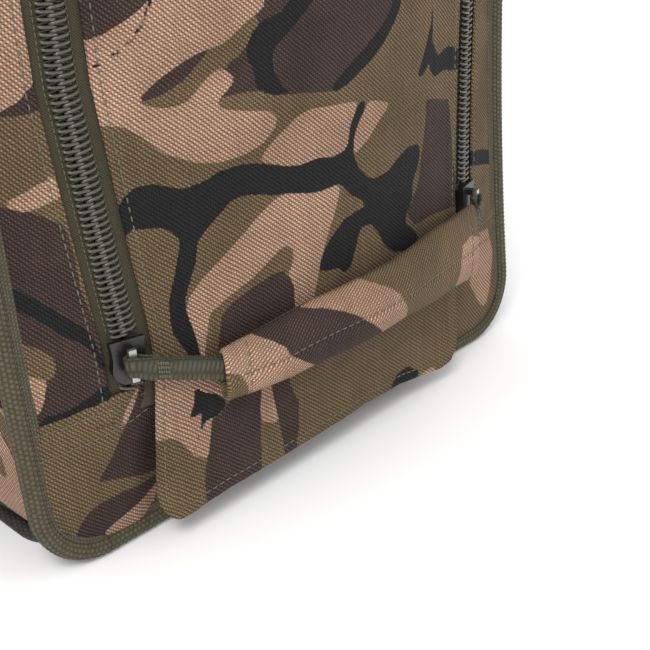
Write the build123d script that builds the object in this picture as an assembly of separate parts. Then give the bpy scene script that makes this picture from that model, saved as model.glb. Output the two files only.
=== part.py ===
"""Tackle backpack: a soft bag with a zipped front door that lifts from the bottom, a main compartment
under a zipped lid, two open side pockets and a padded harness. Millimetres, +Z up, the front faces -Y,
the origin is the middle of the flat base on the floor."""
import math
import os

from build123d import *

os.makedirs("parts", exist_ok=True)
for old in os.listdir("parts"):
    if old.endswith(".step"):
        os.remove(os.path.join("parts", old))

# ---------------------------------------------------------------- driving dimensions
R_FRONT = 358.6        # plan radius of the bulged front
Y_FRONT = -116.0       # front-most line of the bulge at height Z_PULL
LEAN = 0.07            # the front leans back by this much for each mm of height
Z_PULL = 94.0          # height of the top edge of a parked front slider
HALF_W = 144.0         # half width of the front compartment
FRONT_H = 408.0        # height of the front compartment
FRONT_Z0 = 3.0         # underside of the front
Y_DIV = -1.7           # front face of the divider
PIPE_R = 4.0           # piping radius
PIPE_X = 148.3         # piping centre line
ZIP_S = 102.4          # arc distance from the middle to each front zip's centre
ZIP_Z0, ZIP_Z1 = 71.0, 374.0
COIL_W = 5.1           # half width of a closed coil
TAPE_W = 16.5          # half width of a zip tape
DOOR_S = 92.0          # arc distance from the middle to the door's edge
FOLD_S = 111.8         # arc distance to the folded edge beside the zip
DOOR_Z0, DOOR_Z1 = 7.0, 379.0
FLAP_R = 9.0
PULL_TRAVEL = 262.0
MAIN_W = 148.0         # half width of the main compartment
MAIN_Z1 = 452.0        # height of the main compartment's rim
Y_MAIN0, Y_MAIN1 = 3.0, 104.0
Y_BACK = 120.0         # outer face of the back pad
LID_Z0, LID_Z1 = 456.0, 490.0
WALL = 1.8
HANDLE_S0, HANDLE_S1 = -65.0, 91.0
HANDLE_Z0, HANDLE_Z1 = 59.6, 89.6
HANDLE_T = 9.0
BAIL_Z = 84.7          # height of the middle of each slider's bridge

made = {}


def put(name, shape):
    solids = shape.solids() if hasattr(shape, "solids") else [shape]
    made[name] = solids[0] if len(solids) == 1 else Compound(children=list(solids))
    return made[name]


def x_of(s):
    return R_FRONT * math.sin(s / R_FRONT)


def y_of(s, z, d=0.0):
    """Front surface, d mm inside it."""
    return Y_FRONT + R_FRONT - (R_FRONT - d) * math.cos(s / R_FRONT) + LEAN * (z - Z_PULL)


def box(x0, x1, y0, y1, z0, z1):
    return Pos((x0 + x1) / 2, (y0 + y1) / 2, (z0 + z1) / 2) * Box(abs(x1 - x0), abs(y1 - y0), abs(z1 - z0))


def layer(d0, d1, z0, z1, s0=-190.0, s1=190.0):
    """The part of the leaning cylindrical front between depths d0 and d1, heights z0 and z1, arc distances s0 and s1."""
    cy = Y_FRONT + R_FRONT + LEAN * (z0 - Z_PULL)

    def p(s, d):
        a = s / R_FRONT
        return (math.sin(a) * (R_FRONT - d), cy - (R_FRONT - d) * math.cos(a), z0)

    m = (s0 + s1) / 2
    edges = [
        ThreePointArc(p(s0, d0), p(m, d0), p(s1, d0)),
        Line(p(s1, d0), p(s1, d1)),
        ThreePointArc(p(s1, d1), p(m, d1), p(s0, d1)),
        Line(p(s0, d1), p(s0, d0)),
    ]
    face = Face(Wire(edges))
    return Solid.extrude(face, Vector(0, LEAN * (z1 - z0), z1 - z0))


def xz_prism(points, y0, y1):
    """A polygon or a face drawn in X and Z, run from y0 to y1."""
    w = Wire([Line((a[0], y0, a[1]), (b[0], y0, b[1])) for a, b in zip(points, points[1:] + points[:1])])
    return Solid.extrude(Face(w), Vector(0, y1 - y0, 0))


def round_rect_xz(hw, z0, z1, r_bottom, r_top, y0, y1):
    """An upright rounded rectangle run from y0 to y1."""
    e = []
    c = math.sqrt(0.5)
    e.append(Line((-hw + r_bottom, y0, z0), (hw - r_bottom, y0, z0)))
    e.append(ThreePointArc((hw - r_bottom, y0, z0), (hw - r_bottom + r_bottom * c, y0, z0 + r_bottom - r_bottom * c), (hw, y0, z0 + r_bottom)))
    e.append(Line((hw, y0, z0 + r_bottom), (hw, y0, z1 - r_top)))
    e.append(ThreePointArc((hw, y0, z1 - r_top), (hw - r_top + r_top * c, y0, z1 - r_top + r_top * c), (hw - r_top, y0, z1)))
    e.append(Line((hw - r_top, y0, z1), (-hw + r_top, y0, z1)))
    e.append(ThreePointArc((-hw + r_top, y0, z1), (-hw + r_top - r_top * c, y0, z1 - r_top + r_top * c), (-hw, y0, z1 - r_top)))
    e.append(Line((-hw, y0, z1 - r_top), (-hw, y0, z0 + r_bottom)))
    e.append(ThreePointArc((-hw, y0, z0 + r_bottom), (-hw + r_bottom - r_bottom * c, y0, z0 + r_bottom - r_bottom * c), (-hw + r_bottom, y0, z0)))
    return Solid.extrude(Face(Wire(e)), Vector(0, y1 - y0, 0))


def yz_prism(points, x0, x1):
    w = Wire([Line((x0, a[0], a[1]), (x0, b[0], b[1])) for a, b in zip(points, points[1:] + points[:1])])
    return Solid.extrude(Face(w), Vector(x1 - x0, 0, 0))


def mirror_x(shape):
    return mirror(shape, about=Plane.YZ)


def plane_y(z):
    """The leaning plane of the piping, where the front meets its gusset."""
    return y_of(0, z) + R_FRONT - math.sqrt(R_FRONT ** 2 - HALF_W ** 2)


# ---------------------------------------------------------------- front face of the bag
outline = round_rect_xz(HALF_W, FRONT_Z0, FRONT_H, 26, 42, -160, 0)
front_of_plane = yz_prism([(-170, -5), (plane_y(-5), -5), (plane_y(430), 430), (-170, 430)], -170, 170)

# lower band: its face and the underside in front of the piping
outline_low = round_rect_xz(HALF_W, FRONT_Z0, FRONT_H, 35, 42, -160, 0)
band_face = layer(1.5, 2.9, FRONT_Z0, 70.5) & outline_low
under = layer(1.5, 60.0, FRONT_Z0, FRONT_Z0 + 1.4) & outline_low
clear_pipe = yz_prism([(-170, -5), (plane_y(-5) - 5.0, -5), (plane_y(80) - 5.0, 80), (-170, 80)], -170, 170)
band = (band_face & outline & front_of_plane) + (under & outline & clear_pipe)
put("front_lower_band", band)

side = layer(0.0, 1.4, 64.5, DOOR_Z1 + 3, FOLD_S, 185.0) & outline & front_of_plane
put("front_side_right", side)
put("front_side_left", mirror_x(side))

header = (layer(0.0, 1.4, DOOR_Z1 + 3.2, FRONT_H + 1) & outline & front_of_plane)
top_lip = layer(0.0, 60.0, FRONT_H - 1.4, FRONT_H) & outline & yz_prism(
    [(-170, 380), (plane_y(380) - 5.0, 380), (plane_y(430) - 5.0, 430), (-170, 430)], -170, 170)
put("front_header", header + top_lip)

# gusset round the front compartment
g_out = round_rect_xz(HALF_W, FRONT_Z0, FRONT_H, 26, 42, -120, Y_DIV - 0.3)
g_in = round_rect_xz(HALF_W - WALL, FRONT_Z0 + WALL, FRONT_H - WALL, 26 - WALL, 42 - WALL, -121, Y_DIV + 1)
behind_plane = yz_prism([(plane_y(-5) + 0.3, -5), (10, -5), (10, 430), (plane_y(430) + 0.3, 430)], -170, 170)
pipe_lane = yz_prism([(plane_y(-5) + 4.6, -5), (10, -5), (10, 430), (plane_y(430) + 4.6, 430)], -170, 170)
gusset = (g_out - g_in) & pipe_lane
put("front_gusset", gusset)

# piping: a round cord on the edge, in the leaning plane
def lean_pt(x, z):
    return Vector(x, plane_y(z) + 0.2, z)


zb, zt, rb, rt = 4.4, FRONT_H + 4.3, 27.0, 44.0
k = math.sqrt(0.5)
path = Wire([
    Line(lean_pt(0, zb), lean_pt(PIPE_X - rb, zb)),
    ThreePointArc(lean_pt(PIPE_X - rb, zb), lean_pt(PIPE_X - rb + rb * k, zb + rb - rb * k), lean_pt(PIPE_X, zb + rb)),
    Line(lean_pt(PIPE_X, zb + rb), lean_pt(PIPE_X, zt - rt)),
    ThreePointArc(lean_pt(PIPE_X, zt - rt), lean_pt(PIPE_X - rt + rt * k, zt - rt + rt * k), lean_pt(PIPE_X - rt, zt)),
    Line(lean_pt(PIPE_X - rt, zt), lean_pt(0, zt)),
])
half_pipe = sweep(Plane(origin=lean_pt(0, zb), x_dir=(0, 1, 0), z_dir=(1, 0, 0)) * Circle(PIPE_R), path=path)
put("front_piping", half_pipe + mirror_x(half_pipe))

# ---------------------------------------------------------------- front zips: tape and coil on each side
SL_LEN = 18.5
sl_z1 = Z_PULL
sl_z0 = Z_PULL - SL_LEN
slider_gap = 0.6


tapes = {"bag": [], "door": []}
coils = {"bag": [], "door": []}
tapes["bag"].append(layer(1.5, 2.2, ZIP_Z0, ZIP_Z1, ZIP_S + 1.6, ZIP_S + TAPE_W))
tapes["door"].append(layer(1.5, 2.2, ZIP_Z0, ZIP_Z1, ZIP_S - TAPE_W, ZIP_S - 1.6))
for what, s0, s1 in (("bag", 0.05, COIL_W), ("door", -COIL_W, -0.05)):
    coils[what].append(layer(-1.2, 1.4, ZIP_Z0 + 1, sl_z0 - slider_gap, ZIP_S + s0, ZIP_S + s1))
    coils[what].append(layer(-1.2, 1.4, sl_z1 + slider_gap, ZIP_Z1 - 1, ZIP_S + s0, ZIP_S + s1))
for what in ("bag", "door"):
    put(f"front_zip_tapes_{what}", Compound(children=tapes[what] + [mirror_x(x) for x in tapes[what]]))
    put(f"front_zip_coils_{what}", Compound(children=coils[what] + [mirror_x(x) for x in coils[what]]))

# ---------------------------------------------------------------- sliders
def slider_plan(t0, t1, scale=1.0):
    """The outline of a slider's plate in its own frame: x across, y along the chain, nose at -y; extruded from t0 to t1."""
    pts_r = [(7.0 * scale, 9.2 * scale), (6.5 * scale, 3.5 * scale), (6.7 * scale, 0.0), (7.2 * scale, -3.2 * scale), (6.0 * scale, -6.6 * scale), (3.0 * scale, -8.9 * scale), (0.0, -9.2 * scale)]
    right = Spline([(x, y, t0) for x, y in pts_r])
    left = Spline([(-x, y, t0) for x, y in pts_r])
    top = Line((-pts_r[0][0], pts_r[0][1], t0), (pts_r[0][0], pts_r[0][1], t0))
    return Solid.extrude(Face(Wire([right, left, top])), Vector(0, 0, t1 - t0))


def make_slider():
    """A coil-zip slider, x across the chain, y along it, z out of the bag; z 0 is the front surface of the tape's fabric."""
    top = slider_plan(1.5, 3.1)
    bottom = slider_plan(-4.2, -2.9)
    lips = slider_plan(-0.9, 1.6) - (Pos(0, 0, 0.35) * Box(12.6, 40, 2.6))
    lips = lips & (Box(30, 16.0, 10))
    post = Pos(0, -6.4, -0.6) * Box(2.6, 2.6, 4.8)
    body = top + bottom + post + lips
    # bridge over the plate: two feet and a bar across the chain, which the webbing loops round
    foot = Pos(0, 0, 0) * Box(3.0, 2.6, 5.6)
    bridge = (Pos(0, 5.4, 5.0) * foot) + (Pos(0, -5.4, 5.0) * foot) + (Pos(0, 0, 7.0) * Box(3.0, 13.4, 1.7))
    body = body + bridge
    try:
        edges = [e for e in body.edges() if abs(e.center().Z - 3.1) < 0.05 and e.length > 6]
        body = fillet(edges, 0.6)
    except Exception:
        pass
    return body


slider0 = make_slider()


def on_front(shape, s, z, d=0.0, spin=0.0):
    """Place a shape drawn with x across, y up the front and z outwards at arc distance s and height z."""
    a = s / R_FRONT
    up = Vector(0, LEAN, 1).normalized()
    out = Vector(math.sin(a), -math.cos(a), 0)
    out = (out - up * out.dot(up)).normalized()
    across = up.cross(out)
    origin = Vector(x_of(s), y_of(s, z), z) - out * d
    return Plane(origin=origin, x_dir=across, z_dir=out).location * (Rot(0, 0, spin) * shape)


z_mid = Z_PULL - SL_LEN / 2
put("front_right_slider", on_front(slider0, ZIP_S, z_mid))
put("front_left_slider", on_front(slider0, -ZIP_S, z_mid))

# ---------------------------------------------------------------- the door
door_lay = layer(0.0, 1.2, DOOR_Z0, DOOR_Z1, -DOOR_S, DOOR_S)
xd = x_of(DOOR_S)
corner = []
for sx in (-1, 1):
    c = box(sx * xd, sx * (xd - FLAP_R), -160, 0, DOOR_Z0, DOOR_Z0 + FLAP_R) - (
        Pos(sx * (xd - FLAP_R), -80, DOOR_Z0 + FLAP_R) * Rot(90, 0, 0) * Cylinder(FLAP_R, 200))
    corner.append(c)
door = door_lay - corner[0] - corner[1]
put("front_door", door)
# webbing hinge strip sewn inside the top of the door
put("door_hinge_strip", layer(1.5, 2.6, DOOR_Z1 - 3.0, DOOR_Z1 + 14, -84, 84))

# ---------------------------------------------------------------- padded pull handle across the door
def handle_layer(off0, off1, z0, z1, s0, s1):
    """A band in front of the door, upright, off mm in front of the surface at the bridges' height."""
    rr0, rr1 = R_FRONT + off0, R_FRONT + off1
    cy = Y_FRONT + R_FRONT + LEAN * (BAIL_Z - 20 - Z_PULL)

    def p(s, r):
        a = s / R_FRONT
        return (math.sin(a) * r, cy - r * math.cos(a), z0)

    m = (s0 + s1) / 2
    edges = [ThreePointArc(p(s0, rr1), p(m, rr1), p(s1, rr1)), Line(p(s1, rr1), p(s1, rr0)),
             ThreePointArc(p(s1, rr0), p(m, rr0), p(s0, rr0)), Line(p(s0, rr0), p(s0, rr1))]
    return Solid.extrude(Face(Wire(edges)), Vector(0, 0, z1 - z0))


PAD0, PAD1 = 4.6, 14.6     # the pad's inner and outer faces, mm in front of the door
web_z = (HANDLE_Z0 + HANDLE_Z1) / 2
pad = handle_layer(PAD0, PAD1, HANDLE_Z0, HANDLE_Z1, HANDLE_S0, HANDLE_S1)
pad = fillet([e for e in pad.edges() if e.length > 100], 3.8)
slot_cut = handle_layer(8.1, 11.1, web_z - 5.4, web_z + 5.4, HANDLE_S0 - 5, HANDLE_S1 + 5)
put("front_handle_pad", pad - slot_cut)
web_mid = handle_layer(8.4, 10.8, web_z - 5.0, web_z + 5.0, HANDLE_S0 - 6.0, HANDLE_S1 + 6.0)


def front_point(s, off):
    a = s / R_FRONT
    r = R_FRONT + off
    return Vector(math.sin(a) * r, Y_FRONT + R_FRONT + LEAN * (BAIL_Z - 20 - Z_PULL) - r * math.cos(a), 0)


def strip(q0, q1, width, thick=2.2):
    """A flat strip from q0 to q1, its face towards the front."""
    d = (q1 - q0).normalized()
    n = Vector(0, -1, 0)
    n = (n - d * n.dot(d)).normalized()
    return Plane(origin=(q0 + q1) * 0.5, x_dir=d, z_dir=n).location * Box((q1 - q0).length, width, thick)


up = Vector(0, LEAN, 1).normalized()
a_ = ZIP_S / R_FRONT
outv = Vector(math.sin(a_), -math.cos(a_), 0)
outv = (outv - up * outv.dot(up)).normalized()
acr = up.cross(outv)
z_mid = Z_PULL - SL_LEN / 2
bar_c = Vector(x_of(ZIP_S), y_of(ZIP_S, z_mid), z_mid) + outv * 7.0
ring_pl = Plane(origin=bar_c, x_dir=acr, z_dir=up).location
ring_r = ring_pl * (Cylinder(3.4, 7.6) - Cylinder(2.1, 12))
# left link: from the ring's outer side down and in to the pad's end
pl = front_point(HANDLE_S0 - 4.5, 9.6) + Vector(0, 0, web_z)
bar_l = Vector(-bar_c.X, bar_c.Y, bar_c.Z)
q_l = bar_l + Vector(-outv.X, outv.Y, outv.Z) * 2.7
link_l = strip(q_l, pl, 9.6)
# right link: from the ring's outer side, hanging to the pad's near end
pr = front_point(HANDLE_S1 + 4.5, 9.6) + Vector(0, 0, web_z)
q_r = bar_c + outv * 2.7
link_r = strip(q_r, pr, 9.6)
put("front_handle_webbing", web_mid + link_l + link_r + ring_r + mirror_x(ring_r))

# ---------------------------------------------------------------- divider and main compartment
put("divider", round_rect_xz(MAIN_W - 0.3, 3.0, MAIN_Z1, 24, 4, Y_DIV, Y_DIV + 4.4))
u_out = round_rect_xz(MAIN_W, 3.0, MAIN_Z1 + 60, 30, 4, Y_MAIN0, Y_MAIN1)
u_in = round_rect_xz(MAIN_W - WALL, 3.0 + WALL, MAIN_Z1 + 70, 30 - WALL, 4, Y_MAIN0 - 1, Y_MAIN1 + 1)
put("main_gusset", (u_out - u_in) & box(-170, 170, -10, 130, 0, MAIN_Z1))
put("back_lining", round_rect_xz(MAIN_W, 3.0, MAIN_Z1, 30, 24, Y_MAIN1 + 0.2, Y_MAIN1 + 1.6))
put("back_stiffener", round_rect_xz(MAIN_W - 10, 12.0, MAIN_Z1 - 8, 20, 20, Y_MAIN1 + 1.9, Y_MAIN1 + 4.2))
back = round_rect_xz(MAIN_W, 3.0, MAIN_Z1, 30, 24, Y_MAIN1 + 4.5, Y_BACK)
put("back_pad", back)
lum = round_rect_xz(90, 40.0, 118.0, 22, 22, Y_BACK + 0.3, Y_BACK + 13)
lum = fillet([e for e in lum.edges() if abs(e.center().Y - (Y_BACK + 13)) < 0.1], 5)
put("lumbar_pad", lum)
base = Pos(0, 17, 1.3) * Box(272, 200, 2.6)
base = fillet(base.edges().filter_by(Axis.Z), 18)
put("base_panel", base)
bb = Pos(0, (Y_MAIN0 + Y_MAIN1) / 2, 7.2) * Box(236, 94, 3.0)
put("base_board", fillet(bb.edges().filter_by(Axis.Z), 10))

# ---------------------------------------------------------------- lid
lo = Pos(0, (Y_DIV + Y_BACK) / 2, (LID_Z0 + LID_Z1) / 2) * Box(2 * MAIN_W, Y_BACK - Y_DIV, LID_Z1 - LID_Z0)
lo = fillet([e for e in lo.edges().filter_by(Axis.Z) if e.center().Y < 50], 5)
lo = fillet([e for e in lo.edges().filter_by(Axis.Z) if e.center().Y > 50], 12)
lo = fillet([e for e in lo.edges() if abs(e.center().Z - LID_Z1) < 0.01], 4.8)
li = Pos(0, (Y_DIV + Y_BACK) / 2, (LID_Z0 + LID_Z1) / 2 - 2.4) * Box(2 * MAIN_W - 2 * WALL, Y_BACK - Y_DIV - 2 * WALL, LID_Z1 - LID_Z0)
li = fillet([e for e in li.edges().filter_by(Axis.Z) if e.center().Y < 50], 3.2)
li = fillet([e for e in li.edges().filter_by(Axis.Z) if e.center().Y > 50], 10.2)
li = fillet([e for e in li.edges() if abs(e.center().Z - (LID_Z1 - 2.4)) < 0.01], 3)
put("lid", lo - li)


def u_band(gap0, gap1, z0, z1, y_end=98.0):
    """A band round the front and sides, from gap0 to gap1 outside the wall."""
    o = Pos(0, (Y_DIV - gap1 + 150) / 2, (z0 + z1) / 2) * Box(2 * (MAIN_W + gap1), 150 - (Y_DIV - gap1), z1 - z0)
    o = fillet(o.edges().filter_by(Axis.Z), 4 + gap1)
    i = Pos(0, (Y_DIV - gap0 + 150) / 2, (z0 + z1) / 2) * Box(2 * (MAIN_W + gap0), 150 - (Y_DIV - gap0), z1 - z0 + 2)
    i = fillet(i.edges().filter_by(Axis.Z), 4 + gap0)
    return (o - i) & box(-200, 200, -60, y_end, z0, z1)


ZC = 454.0
put("lid_zip_tape_bag", u_band(2.0, 2.7, ZC - 12, ZC - 1.3))
put("lid_zip_tape_lid", u_band(2.0, 2.7, ZC + 1.3, ZC + 12))
LS = 12.0   # parked distance of each lid slider from the middle
coil_b = u_band(2.8, 5.2, ZC - 4.0, ZC - 0.05)
coil_l = u_band(2.8, 5.2, ZC + 0.05, ZC + 4.0)
gap = box(-LS - 9, LS + 9, -40, 0.5, ZC - 8, ZC + 8)
put("lid_zip_coil_bag", coil_b - gap)
put("lid_zip_coil_lid", coil_l - gap)


def lid_slider():
    """x along the chain, y out of the bag from the wall, z across; its own origin on the chain's centre at the wall."""
    top = Box(14.0, 1.3, 11.0)
    top = fillet(top.edges().filter_by(Axis.Y), 3.0)
    bot = fillet((Box(14.0, 1.1, 10.0)).edges().filter_by(Axis.Y), 3.0)
    body = (Pos(0, -6.5, 0) * top) + (Pos(0, -1.1, 0) * bot) + (Pos(5.0, -3.8, 0) * Box(2.0, 5.0, 2.0))
    body = body + (Pos(4.2, -8.9, 0) * Box(1.6, 4.2, 2.4)) + (Pos(-4.2, -8.9, 0) * Box(1.6, 4.2, 2.4)) + (Pos(0, -10.3, 0) * Rot(0, 90, 0) * Cylinder(0.75, 8.6))
    return body


ls = lid_slider()
put("lid_left_slider", Pos(-LS, Y_DIV, ZC) * ls)
put("lid_right_slider", Pos(LS, Y_DIV, ZC) * mirror_x(ls))


def lid_pull():
    """An eye round the slider's bar with a moulded grip hanging below it; its own origin on the bar's axis."""
    eye = Rot(0, 90, 0) * Torus(2.0, 0.75)
    grip = Pos(0, 0, -19.5) * Box(8.0, 3.4, 26.0)
    grip = fillet(grip.edges(), 1.4)
    stem = Pos(0, 0, -4.6) * Box(2.2, 1.6, 5.0)
    return eye + grip + stem


lp = lid_pull()
PULL_Y = Y_DIV - 10.3
put("lid_left_pull", Pos(-LS, PULL_Y, ZC) * lp)
put("lid_right_pull", Pos(LS, PULL_Y, ZC) * lp)

# ---------------------------------------------------------------- top carry handle, hanging at the back
HX, HZ, HY = 44.0, 441.0, Y_BACK + 4.2
put("carry_anchor", box(-58, -30, Y_BACK + 0.2, Y_BACK + 1.8, 420, 446) + box(30, 58, Y_BACK + 0.2, Y_BACK + 1.8, 420, 446)
    + box(-30, 30, Y_BACK + 0.2, Y_BACK + 1.8, 426, 442))
u_path = Wire([Line((-HX, HY, HZ), (-HX, HY, HZ - 22)),
               ThreePointArc((-HX, HY, HZ - 22), (0, HY, HZ - 66), (HX, HY, HZ - 22)),
               Line((HX, HY, HZ - 22), (HX, HY, HZ))])
hand = sweep(Plane(origin=(-HX, HY, HZ), x_dir=(1, 0, 0), z_dir=(0, 0, -1)) * RectangleRounded(20, 4, 1.2), path=u_path, transition=Transition.ROUND)
put("carry_handle", hand)

# ---------------------------------------------------------------- shoulder harness
def strap_profile(y_off, t, z0, z1):
    """The side view of a shoulder strap: a bowed band t thick."""
    n = 9
    zs = [z0 + (z1 - z0) * i / (n - 1) for i in range(n)]

    def yy(z):
        u = (z - 128.0) / (418.0 - 128.0)
        return Y_BACK + y_off + 4.0 + 34.0 * math.sin(math.pi * min(max(u, 0), 1)) ** 0.9

    outer = Spline([(0, yy(z) + t, z) for z in zs])
    inner = Spline([(0, yy(z), z) for z in zs])
    face = Face(Wire([outer, inner, Line(outer @ 0, inner @ 0), Line(outer @ 1, inner @ 1)]))
    return face


def strap_plan(w_top, w_bot, x_top, x_bot, z0, z1):
    zs = [z0 + (z1 - z0) * i / 8 for i in range(9)]

    def xc(z):
        u = (z - z0) / (z1 - z0)
        return x_bot + (x_top - x_bot) * u + 16 * math.sin(math.pi * u)

    def hw(z):
        u = (z - z0) / (z1 - z0)
        return (w_bot + (w_top - w_bot) * min(1, u * 1.8)) / 2

    a = Spline([(xc(z) - hw(z), 110, z) for z in zs])
    b = Spline([(xc(z) + hw(z), 110, z) for z in zs])
    return Solid.extrude(Face(Wire([a, b, Line(a @ 0, b @ 0), Line(a @ 1, b @ 1)])), Vector(0, 90, 0))


SZ0, SZ1 = 150.0, 418.0
prof = Solid.extrude(strap_profile(0.0, 12.0, SZ0, SZ1), Vector(140, 0, 0))
plan = strap_plan(60, 46, 88, 96, SZ0, SZ1)
pad_r = prof & plan
put("right_strap_pad", pad_r)
put("left_strap_pad", mirror_x(pad_r))
# sewn root of each strap on the back pad
root_r = box(60, 116, Y_BACK + 0.3, Y_BACK + 3.2, 388, 436)
put("strap_roots", root_r + mirror_x(root_r))


def strap_y(z):
    u = (z - 128.0) / (418.0 - 128.0)
    return Y_BACK + 4.0 + 34.0 * math.sin(math.pi * min(max(u, 0), 1)) ** 0.9


# ladder lock under the pad's end
LLX, LLZ = 96.0, 139.0
LLY = strap_y(SZ0) + 6.0
lock = Box(34, 5.0, 22) - Pos(0, 0, 5.2) * Box(26, 9, 4.4) - Pos(0, 0, -3.6) * Box(26, 9, 7.6)
lock = lock + Pos(0, 0.4, -3.6) * Rot(0, 90, 0) * Cylinder(1.9, 27)
lock_r = Pos(LLX, LLY, LLZ - 2.0) * lock
put("right_ladder_lock", lock_r)
put("left_ladder_lock", mirror_x(lock_r))
# lower webbing from the anchor at the base corner up through the lock, with its loose tail
an = Vector(126, Y_BACK + 3.0, 34)
w_top = Vector(LLX, LLY - 4.6, LLZ - 8.0)
d = w_top - an
n = Vector(0, 1, 0)
n = (n - d.normalized() * n.dot(d.normalized())).normalized()
web = Plane(origin=(an + w_top) * 0.5, x_dir=d.normalized(), z_dir=n).location * Box(d.length, 24.5, 1.6)
put("right_strap_webbing", web)
put("left_strap_webbing", mirror_x(web))
tail = box(LLX - 12.2, LLX + 12.2, LLY + 3.1, LLY + 4.7, 74, LLZ - 2)
put("right_webbing_tail", tail)
put("left_webbing_tail", mirror_x(tail))
tab = xz_prism([(108, 12), (143, 14), (143, 46), (126, 42)], Y_BACK + 0.3, Y_BACK + 2.0)
put("anchor_tabs", tab + mirror_x(tab))

# chest strap: webbing from each shoulder strap to a side-release buckle in the middle
CZ = 318.0
cy = strap_y(CZ) + 12.0 + 2.2
xin = 44.0
put("chest_webbing_left", box(-108, -26.3, cy, cy + 1.6, CZ - 9.5, CZ + 9.5))
put("chest_webbing_right", box(22.3, 108, cy, cy + 1.6, CZ - 9.5, CZ + 9.5))
bf = Pos(-13, cy + 0.8, CZ) * Box(26, 9, 28)
bf = fillet(bf.edges().filter_by(Axis.Y), 4)
bf = bf - (Pos(-9, cy + 0.8, CZ) * Box(19, 5.0, 21)) - (Pos(-20, cy + 0.8, CZ) * Box(14, 3.0, 20))
put("chest_buckle_socket", bf)
bm = Pos(11.5, cy + 0.8, CZ) * Box(20, 8, 27)
bm = fillet(bm.edges().filter_by(Axis.Y), 4)
bm = bm - (Pos(17.5, cy + 0.8, CZ) * Box(9, 3.0, 20))
prongs = (Pos(-6.5, cy + 0.8, CZ + 7.2) * Box(19.0, 4.0, 4.0)) + (Pos(-6.5, cy + 0.8, CZ - 7.2) * Box(19.0, 4.0, 4.0)) + (Pos(-4.5, cy + 0.8, CZ) * Box(15, 3.0, 3.0))
put("chest_buckle_plug", bm + prongs)

# D rings hanging on short keepers on the shoulder straps
DZ = 262.0
dy = strap_y(DZ) + 12.0
xr = 106.0
keeper = box(xr - 8, xr + 8, dy + 0.6, dy + 1.8, DZ - 8, DZ + 16)
kp = keeper + (Pos(xr, dy + 3.7, DZ + 5.0) * Rot(0, 90, 0) * (Cylinder(3.1, 14) - Cylinder(1.9, 20)))
put("ring_keepers", kp + mirror_x(kp))
ring_y = dy + 3.7
rg = Pos(xr, ring_y, DZ + 5.0) * (Rot(0, 90, 0) * Cylinder(1.5, 29.0)) + Pos(xr, ring_y, DZ + 5.0) * (
    (Rot(90, 0, 0) * Torus(12.5, 1.3)) & (Pos(0, 0, -10.3) * Box(40, 10, 20)))
put("right_d_ring", rg)
put("left_d_ring", mirror_x(rg))

# ---------------------------------------------------------------- side pockets
def pocket():
    o = box(MAIN_W + 0.3, MAIN_W + 36, 8, 99, 8, 178)
    o = fillet([e for e in o.edges().filter_by(Axis.Z) if e.center().X > MAIN_W + 10], 18)
    o = fillet([e for e in o.edges() if abs(e.center().Z - 8) < 0.1 and e.center().X > MAIN_W + 5], 10)
    i = box(MAIN_W + 2.0, MAIN_W + 34.2, 9.8, 97.2, 9.8, 190)
    i = fillet([e for e in i.edges().filter_by(Axis.Z) if e.center().X > MAIN_W + 10], 16.2)
    i = fillet([e for e in i.edges() if abs(e.center().Z - 9.8) < 0.1 and e.center().X > MAIN_W + 5], 8.2)
    return o - i


pk = pocket()
put("right_side_pocket", pk)
put("left_side_pocket", mirror_x(pk))
ro = box(MAIN_W + 0.3, MAIN_W + 37, 7, 100, 178.3, 187)
ro = fillet([e for e in ro.edges().filter_by(Axis.Z) if e.center().X > MAIN_W + 10], 19)
ri = box(MAIN_W + 2.4, MAIN_W + 33.8, 10.2, 96.8, 170, 195)
ri = fillet([e for e in ri.edges().filter_by(Axis.Z) if e.center().X > MAIN_W + 10], 15.8)
put("right_pocket_rim", ro - ri)
put("left_pocket_rim", mirror_x(ro - ri))

# ---------------------------------------------------------------- write
for name, shape in made.items():
    export_step(shape, f"parts/{name}.step")
print(len(made), "nodes", "plane_y(94)", round(plane_y(94), 2), "bail", bar_c)
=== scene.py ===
"""Looks of the tackle backpack: fabric panels, zips, webbing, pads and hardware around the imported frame. Lengths in
millimetres in the tables below, turned to metres when a mesh is made. +Z up, the front faces -Y."""
import bpy
import bmesh
import math
import numpy as np
from mathutils import Matrix, Vector


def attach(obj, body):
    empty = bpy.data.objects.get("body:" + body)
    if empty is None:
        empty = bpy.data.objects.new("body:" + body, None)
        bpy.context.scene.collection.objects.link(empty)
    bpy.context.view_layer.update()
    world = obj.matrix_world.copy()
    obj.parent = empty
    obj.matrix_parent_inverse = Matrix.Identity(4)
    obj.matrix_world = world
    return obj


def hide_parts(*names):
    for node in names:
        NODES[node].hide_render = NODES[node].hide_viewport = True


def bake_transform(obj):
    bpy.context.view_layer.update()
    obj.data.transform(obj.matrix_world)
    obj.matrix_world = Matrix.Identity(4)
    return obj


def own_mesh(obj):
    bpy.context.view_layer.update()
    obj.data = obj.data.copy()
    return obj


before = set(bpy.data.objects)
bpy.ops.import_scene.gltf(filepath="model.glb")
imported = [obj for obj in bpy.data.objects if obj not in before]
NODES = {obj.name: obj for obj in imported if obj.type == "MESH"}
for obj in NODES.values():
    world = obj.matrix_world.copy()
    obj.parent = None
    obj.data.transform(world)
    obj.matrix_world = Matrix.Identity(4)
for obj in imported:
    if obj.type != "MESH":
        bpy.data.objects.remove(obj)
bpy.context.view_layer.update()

R = 358.6
PI = math.pi


# ------------------------------------------------------------------ shape of the bag
def prof(z):
    z = np.asarray(z, float)
    zf = (z - 94.0) / 1.04
    return np.where(z < 178, 1.04 * (0.0943 * zf - 0.0003 * zf * zf), 0.07 * (z - 94.0))


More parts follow.
